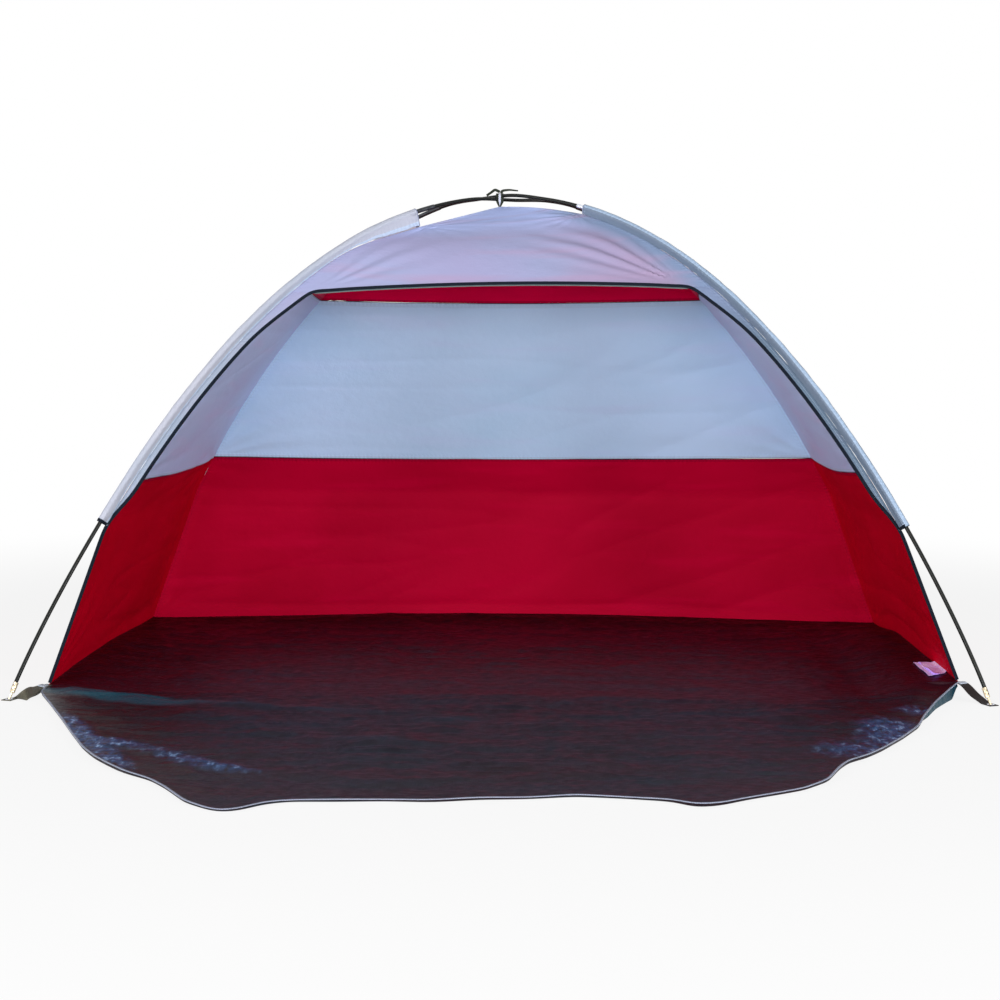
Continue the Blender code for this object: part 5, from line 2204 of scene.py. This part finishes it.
    def hem(self) -> Piece:
        """The pale tape folded over the apron's edge.

        Returns:
            The tape.
        """
        middle = self.edge.points + np.array([0.0, 0.0, 0.0002])
        along = travel(middle)
        thick = unit(np.array([[0.0, 0.0, 1.0]]) - along * along[:, 2:])
        wide = unit(np.cross(along, thick))
        piece = ribbon("apron_hem_tape", middle + wide * 0.0010, wide, thick, self.tape, 14, 0.6)
        self.lay_down(piece, HEM_TAPE, ["apron_hem"])
        return piece

    def shadow_skirt(self) -> Piece:
        """A dark strip of the sheet hung from the hem down to the ground, deepest at the lifted right corner:
        painted shade where the shadow under the lifted hem falls.

        Returns:
            The strip.
        """
        marks = np.linspace(0.006, self.edge.length - 0.004, 420)
        high = self.edge.at(marks) - [0.0, 0.0, 0.0014]
        corner = ease((marks - self.edge.length + 0.34) / 0.06)
        fall = np.minimum(high[:, 2] - 0.0009, 0.0056 + 0.04 * corner)
        fall *= 1 - 0.85 * ease((marks - self.edge.length + 0.045) / 0.04)
        down = np.linspace(0, 1, 5)[:, None]
        points = np.repeat(high[None], 5, axis=0)
        points[..., 1] -= 0.010 * corner * down ** 2
        points[..., 2] -= fall * down
        # The strip takes the sheet's finish with its painted sky reflection, strongest at the right corner,
        # and no painted glare.
        mixed = joined(0.2 + corner, 0 * marks, 0.02 + 0 * down)
        piece = sewn("apron_hem_shadow_skirt", Sheet(points, points[..., :2], mixed), self.sheet)
        self.lay_down(piece, GROUND)
        return piece


@dataclass(frozen=True)
class TabShape:
    """How one corner's webbing lies.

    Attributes:
        start: The height at which it leaves the floor's corner.
        bulge: How far it bows out to the right and to the front on its way.
        twist: How far it turns on edge there.
        kink: How far it rises there.
        finish: Its webbing.
    """

    start: float = 0.002
    bulge: Pair = (0.0, 0.0)
    twist: float = 0.2
    kink: float = 0.007
    finish: WovenTape = GREY_WEBBING


@dataclass
class Corners(Framed):
    """The webbing tabs at the floor's corners, each with a steel eyelet for the pole's pin.

    Attributes:
        width: The webbing's width.
        thickness: Its thickness.
        tail: How far it runs past the eyelet.
        tuck: How far it runs in under the floor.
        hump_at: The share of its length at which it rises and turns on edge.
        hump_reach: How long that hump is.
        twist_reach: How long that turn is.
        bulge_reach: How long its sideways bulge is.
        shapes: How the two front tabs lie.
    """

    width: float = 0.025
    thickness: float = 0.0015
    tail: float = 0.0125
    tuck: float = 0.018
    hump_at: float = 0.45
    hump_reach: float = 0.026
    twist_reach: float = 0.032
    bulge_reach: float = 0.036
    shapes: Mapping[Side, TabShape] = field(default_factory=lambda: {
        Side.LEFT: TabShape(start=0.009, bulge=(0.018, -0.075), twist=1.25, kink=0.010),
        # The front right tab takes the near-black copy of the webbing: painted shade.
        Side.RIGHT: TabShape(start=0.034, twist=0.12, kink=0.0, finish=SHADED_WEBBING)})

    def tab(self, side: Side, end: End) -> None:
        """One tab with its eyelet.

        Args:
            side: The corner's side.
            end: The corner's end.
        """
        word = corner_word(side, end)
        corner = np.array([self.bow.half_width * side.value, self.bow.half_depth * end.value, 0.0])
        shape = self.shapes[side] if end is End.FRONT else TabShape()
        forward = np.array([0.0, -self.bow.foot_forward[side] if end is End.FRONT else 0.0, 0.0])
        foot = np.array([self.bow.tip_x * side.value, self.bow.tip_y * end.value, 0.0]) + forward
        length = float(np.linalg.norm(foot - corner))
        away = (foot - corner) / length
        square = np.array([-away[1], away[0], 0.0])
        low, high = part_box(f"eyelet_{word}")
        centre = np.array([(low.x + high.x) / 2, (low.y + high.y) / 2, 0.0]) + forward
        hole = float(np.linalg.norm(centre - corner))
        runs = np.linspace(-self.tuck, length + self.tail, 64)
        hump = shape.kink * bell(runs, length * self.hump_at, self.hump_reach)
        twist = shape.twist * side.value * bell(runs, length * self.hump_at, self.twist_reach)
        middle = corner + away * runs[:, None]
        flat = ease((np.abs(runs - hole) - 0.011) / 0.020)
        bowed = bell(runs, length / 2, self.bulge_reach) * flat
        middle[:, :2] += np.array(shape.bulge) * bowed[:, None]
        middle[:, 2] = 0.0018 + (hump + 0.0012 * np.sin(runs / 0.011)) * flat
        middle[:, 2] += (shape.start - 0.002) * (1 - ease(runs / (hole - 0.014)))
        along = travel(middle)
        wide = unit(square[None] * np.cos(twist * flat)[:, None]
                    + np.array([[0, 0, 1.0]]) * np.sin(twist * flat)[:, None])
        thick = unit(np.cross(along, wide))
        columns = 14
        shares = np.linspace(-0.5, 0.5, columns + 1)
        points = middle[:, None] + wide[:, None] * shares[None, :, None] * self.width
        points[..., 2] = np.maximum(points[..., 2], 0.0012)
        points = self.open_hole(points, centre, (high.x - low.x) / 2 - 0.0036)
        keep = np.linalg.norm((points[:-1, :-1] + points[1:, 1:])[..., :2] / 2 - centre[:2], axis=-1) \
            > (high.x - low.x) / 2 - 0.0042
        place = joined(shares[None] * self.width, runs[:, None])
        sheet = Sheet(points, place, np.zeros((*points.shape[:2], 3)), keep)
        if float((sheet.normals()[..., 2]).mean()) < 0:
            sheet = Sheet(points[:, ::-1], place[:, ::-1], sheet.edges, keep[:, ::-1])
        dress(sewn(f"webbing_{word}", sheet, self.thickness), shape.finish, [f"corner_tab_{word}"])
        if end is End.FRONT:
            first = slice(9, 15)
            piece = ribbon(f"tab_patch_{word}", middle[first] + [0.0, 0.0, 0.0008], wide[first], thick[first],
                           (self.width * 0.80, self.thickness + 0.0040), 14, 0.3)
            dress(piece, PALE_PATCH)
        self.eyelet(word, centre, (high.x - low.x) / 2, high.z)

    @staticmethod
    def open_hole(points: Grid, centre: Grid, radius: float) -> Grid:
        """Draw the points that lie near a hole's rim onto it.

        Args:
            points: The webbing's points, which are changed.
            centre: The hole's middle.
            radius: Its radius.

        Returns:
            The points.
        """
        away = points[..., :2] - centre[:2]
        distance = np.linalg.norm(away, axis=-1)
        near = np.abs(distance - radius) < 0.0013
        rim = centre[:2] + away / np.maximum(distance, 1e-6)[..., None] * radius
        points[..., :2] = np.where(near[..., None], rim, points[..., :2])
        return points

    def eyelet(self, word: str, centre: Grid, rim: float, top: float) -> None:
        """A two-part rolled eyelet.

        Args:
            word: The corner's name.
            centre: Where it stands.
            rim: Its outer radius.
            top: Its height.
        """
        hole = rim - 0.0047 + self.bow.gap
        route = Route(np.stack([centre, centre + np.array([0.0, 0.0, 1.0])]))
        roll = 0.0006
        profile = [(0.0, hole + roll), (roll, hole), (top - roll, hole), (top, hole + roll),
                   (top, rim - roll), (top - roll * 0.6, rim), (top - 0.0007, rim - 0.0002),
                   (top - 0.0008, hole + 0.0008), (0.0008, hole + 0.0008), (0.0007, rim - 0.0002),
                   (roll * 0.6, rim), (0.0, rim - roll)]
        dress(turned(f"grommet_{word}", route, profile, 32, closed=True), STEEL, [f"eyelet_{word}"])

    def build(self) -> None:
        """Make the four tabs."""
        for side, end in CORNERS:
            self.tab(side, end)


@dataclass
class Tie(Framed):
    """The tie at the crossing: a dark tape from the roof over both poles, a pale wrap and two tails.

    Attributes:
        roof_drop: How far the roof's crown lies below the crossing.
        tape: The tape's width and thickness.
    """

    roof_drop: float = 0.018
    tape: Pair = (0.0075, 0.0011)

    def loop(self, name: str, spread: float, width: float, finish: Finish, nodes: Sequence[str]) -> None:
        """One loop of tape from the roof over the poles.

        Args:
            name: The piece's name.
            spread: How far to one side it passes over the poles.
            width: The tape's width.
            finish: Its finish.
            nodes: The CAD nodes that it stands for.
        """
        top = self.bow.rise + self.bow.crown_lift + self.bow.crossing_lift
        radius = self.bow.radius + 0.0013
        half = self.bow.radius * self.bow.half_span / self.bow.tip_x + 0.0022
        low = self.bow.rise - self.roof_drop + 0.0012
        angles = np.linspace(0, math.pi, 15)
        arc = np.stack([0 * angles + spread, half * np.cos(angles), top + radius * np.sin(angles)], axis=1)
        under = self.bow.rise + self.bow.crown_lift - self.bow.crossing_lift - self.bow.radius
        drop = np.linspace(0, 1, 9)[1:]
        back = np.stack([spread * (1 - drop), -half * (1 - drop * 0.8), under + (low - under) * drop], axis=1)
        down = np.stack([spread + 0 * drop, -half + 0 * drop, top + (under - top) * drop], axis=1)
        path = np.concatenate([arc, down, back])
        front = (path[15:] * [1, -1, 1])[::-1]
        path = np.concatenate([front, path]) + [self.bow.crossing_x, 0.0, 0.0]
        along = travel(path)
        wide = unit(np.array([[1.0, 0.0, 0.0]]) - along * along[:, :1])
        thick = unit(np.cross(along, wide))
        piece = ribbon(name, path, wide, thick, (width, self.tape[1]), 12, 0.5)
        dress(piece, finish, nodes)

    def tail(self, name: str, points: Sequence[Place], taper: float) -> None:
        """One tail of the knot, which narrows towards its cut end.

        Args:
            name: The piece's name.
            points: Its middle line from the knot.
            taper: The share of its width that is left at its end.
        """
        line = np.array(points) + [self.bow.crossing_x, 0.0, 0.0]
        marks = Route(line).marks
        fine = np.linspace(0, marks[-1], 26)
        path = Front.smoothed(np.stack([np.interp(fine, marks, line[:, k]) for k in range(3)], axis=1), 5)
        along = travel(path)
        wide = unit(np.cross(along, np.array([[0.0, -1.0, 0.25]])))
        thick = unit(np.cross(wide, along))
        shares = np.linspace(-0.5, 0.5, 7)
        width = self.tape[0] * (1 - (1 - taper) * np.linspace(0, 1, 26))
        grid = path[:, None] + wide[:, None] * shares[None, :, None] * width[:, None, None]
        grid = grid + thick[:, None] * (0.0012 * np.cos(shares * math.pi))[None, :, None]
        place = joined(shares[None] * self.tape[0], fine[:, None])
        sheet = Sheet(grid, place, np.zeros((*grid.shape[:2], 3)))
        dress(sewn(name, sheet, 0.0009), OLIVE_TAPE)

    def build(self) -> None:
        """Make the loops, the wrap and the tails."""
        self.loop("tie_wrap", 0.0, 0.0062, WHITE_TAPE, ["apex_tie"])
        self.loop("tie_tape_left", -0.0066, 0.0070, OLIVE_TAPE, ())
        self.loop("tie_tape_right", 0.0068, 0.0070, OLIVE_TAPE, ())
        top = self.bow.rise + self.bow.crown_lift + self.bow.crossing_lift + self.bow.radius
        self.tail("tie_tail_left", ((0.000, -0.006, top + 0.0050), (-0.013, -0.008, top + 0.0113),
                                    (-0.023, -0.010, top + 0.003), (-0.035, -0.010, top - 0.0048)), 0.8)
        self.tail("tie_tail_right", ((0.004, -0.009, top + 0.0010), (0.006, -0.009, top + 0.0083),
                                     (0.026, -0.008, top + 0.0105), (0.049, -0.007, top + 0.0080)), 0.40)


@dataclass
class Label:
    """The blank label by the right wall: two satin leaves, the upper one curled and a little askew.

    Attributes:
        curl: How far the upper leaf's free corner lifts.
        thickness: The satin's thickness.
        skew: How much further to the front its free end reaches than its sewn edge.
        seam_x: Where the wall's seam is.
    """

    curl: float = 0.009
    thickness: float = 0.0006
    skew: float = 0.060
    seam_x: float = 1.0955

    def leaf(self, name: str, inset: float, lift: float, nodes: Sequence[str]) -> None:
        """One leaf.

        Args:
            name: The piece's name.
            inset: How much shorter than the CAD leaf it is at its free end.
            lift: How far its free corner lifts.
            nodes: The CAD nodes that it stands for.
        """
        low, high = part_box("blank_label")
        back = high.y
        length = high.y - low.y - self.skew
        u = np.linspace(0, 1, 23)[None]
        v = np.linspace(0, 1, 33)[:, None]
        wide = (high.x - low.x) * (1 - inset)
        x = self.seam_x - wide * u + 0 * v
        front = back - length - self.skew * u
        y = back + (front - back) * v
        wave = Noise(63)(x, y, 0.05, 2)
        z = low.z + 0.0008 + lift * (u * v) ** 2 + lift * 0.3 * u * (wave + 0.6) + 0.0006 * np.sin(v * 11) * u
        z = z + 0.0042 * (1 - ease((self.seam_x + 0.001 - x) / 0.013))
        points = joined(x, y, z)
        place = joined(wide * u, y)
        edges = joined(length * v, length * (1 - v), wide * (1 - u))
        sheet = Sheet(points, place, edges)
        piece = sewn(name, sheet, self.thickness)
        paint(piece, SATIN, nodes)
        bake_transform(piece)
        LOG.info("%s bends between tent and label", piece.name)
        sheet.area()

    def build(self) -> None:
        """Make both leaves."""
        self.leaf("label_leaf_lower", 0.09, 0.002, ["blank_label"])
        self.leaf("label_leaf_upper", 0.30, self.curl, ())


@dataclass(frozen=True)
class Lamp:
    """A soft rectangular lamp.

    Attributes:
        name: Its name.
        place: Where it hangs.
        aim: The height over the origin that it faces.
        size: Its width and height.
        power: Its power in watts.
    """

    name: str
    place: Place
    aim: float
    size: Pair
    power: float

    def hang(self) -> None:
        """Put the lamp in its place."""
        data = bpy.data.lights.new(self.name, "AREA")
        data.shape, data.size, data.size_y, data.energy = "RECTANGLE", *self.size, self.power
        made = bpy.data.objects.new(self.name, data)
        made.location = self.place
        made.rotation_mode = "QUATERNION"
        made.rotation_quaternion = (Vector((0, 0, self.aim)) - Vector(self.place)).to_track_quat("-Z", "Y")
        bpy.context.scene.collection.objects.link(made)


@dataclass
class Studio:
    """The camera, the pale floor and the soft light.

    Attributes:
        eye: Where the camera stands.
        turn: How far it is turned to the left.
        pitch: How far it looks down.
        roll: How far it is rolled.
        lens: Its focal length for a 36 mm sensor.
        sky: The strength of the light from all round.
        lamps: The lamps.
        floor_reach: How far the floor reaches.
        fade: From where to where the floor fades to white.
    """

    eye: Place = (0.1261, -5.0826, 0.8275)
    turn: float = 0.0285
    pitch: float = 0.0805
    roll: float = 0.0034
    lens: float = 67.773
    sky: float = 0.20
    lamps: tuple[Lamp, ...] = (
        Lamp("front", (0.1, -7.2, 1.1), 0.55, (3.6, 1.6), 150.0),
        Lamp("front_left", (-4.9, -5.4, 1.3), 0.45, (3.0, 1.8), 300.0),
        Lamp("front_right", (4.9, -5.4, 1.3), 0.45, (3.0, 1.8), 300.0),
        Lamp("overhead", (0.0, 0.4, 5.2), 0.0, (5.0, 5.0), 12.0),
    )
    floor_reach: float = 60.0
    fade: Pair = (1.6, 4.0)

    def camera(self) -> None:
        """Stand the camera where the photograph was taken."""
        data = bpy.data.cameras.new("camera")
        data.sensor_width, data.lens = 36.0, self.lens
        made = bpy.data.objects.new("camera", data)
        made.matrix_world = (Matrix.Translation(self.eye) @ Matrix.Rotation(self.turn, 4, "Z")
                             @ Matrix.Rotation(math.pi / 2 - self.pitch, 4, "X")
                             @ Matrix.Rotation(self.roll, 4, "Z"))
        bpy.context.scene.collection.objects.link(made)
        bpy.context.scene.camera = made

    @staticmethod
    def seen(board: Board) -> Value:
        """Which rays show the backdrop.

        Args:
            board: The board to draw on.

        Returns:
            1 for a ray from the eye, from a gloss or through glass.
        """
        rays = [board.node("ShaderNodeLightPath", {}, {}, word)
                for word in ("Is Camera Ray", "Is Glossy Ray", "Is Transmission Ray")]
        both = board.math("MAXIMUM", rays[0], rays[1])
        return board.math("MAXIMUM", both, rays[2])

    def sky_light(self) -> None:
        """Plain light from all round, which shows as white."""
        world = bpy.data.worlds.new("studio")
        bpy.context.scene.world = world
        world.use_nodes = True
        board = Board(world.node_tree)
        white = (1.0, 1.0, 1.0, 1.0)
        dim = board.node("ShaderNodeBackground", {}, {"Color": white, "Strength": self.sky})
        full = board.node("ShaderNodeBackground", {}, {"Color": white, "Strength": 1.0})
        mixed = board.node("ShaderNodeMixShader", {}, {0: self.seen(board), 1: dim, 2: full})
        board.node("ShaderNodeOutputWorld", {}, {"Surface": mixed})

    def floor(self) -> None:
        """A wide pale floor that fades to white away from the tent."""
        angles = np.linspace(0, 2 * math.pi, 24, endpoint=False)
        points = joined(np.cos(angles) * self.floor_reach, np.sin(angles) * self.floor_reach, -0.0006)
        made = mesh_object("studio_floor", points, [list(range(len(points)))])
        material = bpy.data.materials.new("studio_floor")
        material.use_nodes = True
        board = Board(material.node_tree)
        place = board.node("ShaderNodeTexCoord", {}, {}, "Object")
        away = board.node("ShaderNodeVectorMath", {"operation": "LENGTH"}, {0: place}, "Value")
        pale = board.node("ShaderNodeBsdfDiffuse", {}, {"Color": (0.93, 0.93, 0.93, 1.0)})
        white = board.node("ShaderNodeEmission", {}, {"Color": (1.0, 1.0, 1.0, 1.0), "Strength": 1.0})
        share = board.between(away, *self.fade, 0.85, 1.0) * self.seen(board)
        mixed = board.node("ShaderNodeMixShader", {}, {0: share, 1: pale, 2: white})
        board.node("ShaderNodeOutputMaterial", {}, {"Surface": mixed})
        made.data.materials.append(material)

    def build(self) -> None:
        """Set the view, the camera, the lamps and the floor."""
        bpy.context.scene.view_settings.view_transform = "Standard"
        self.camera()
        self.sky_light()
        self.floor()
        for lamp in self.lamps:
            lamp.hang()


def main() -> None:
    """Build the studio and every sub-assembly."""
    logging.basicConfig(level=logging.INFO, format="%(name)s: %(message)s")
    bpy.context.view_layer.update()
    bow = Bow()
    footing = Footing(bow)
    own = {
        (Side.LEFT, End.FRONT): dict(crown_drop=0.040, crown_gap=0.283, foot_height=0.009),
        (Side.RIGHT, End.FRONT): dict(crown_drop=0.017, crown_gap=0.240, foot_height=0.0355,
                                      ridge_arch=0.006),
        (Side.LEFT, End.BACK): dict(crown_drop=0.050, crown_gap=0.310),
        (Side.RIGHT, End.BACK): dict(crown_drop=0.045),
    }
    seams = {corner: Seam(bow, *corner, **own[corner]) for corner in CORNERS}
    Studio().build()
    Poles(bow).build()
    Sleeves(bow, seams).build()
    Walls(bow, seams, footing).build()
    Front(bow, seams).build()
    Ground(bow, footing).build()
    Corners(bow).build()
    Tie(bow).build()
    Label().build()


if __name__ == "__main__":
    main()
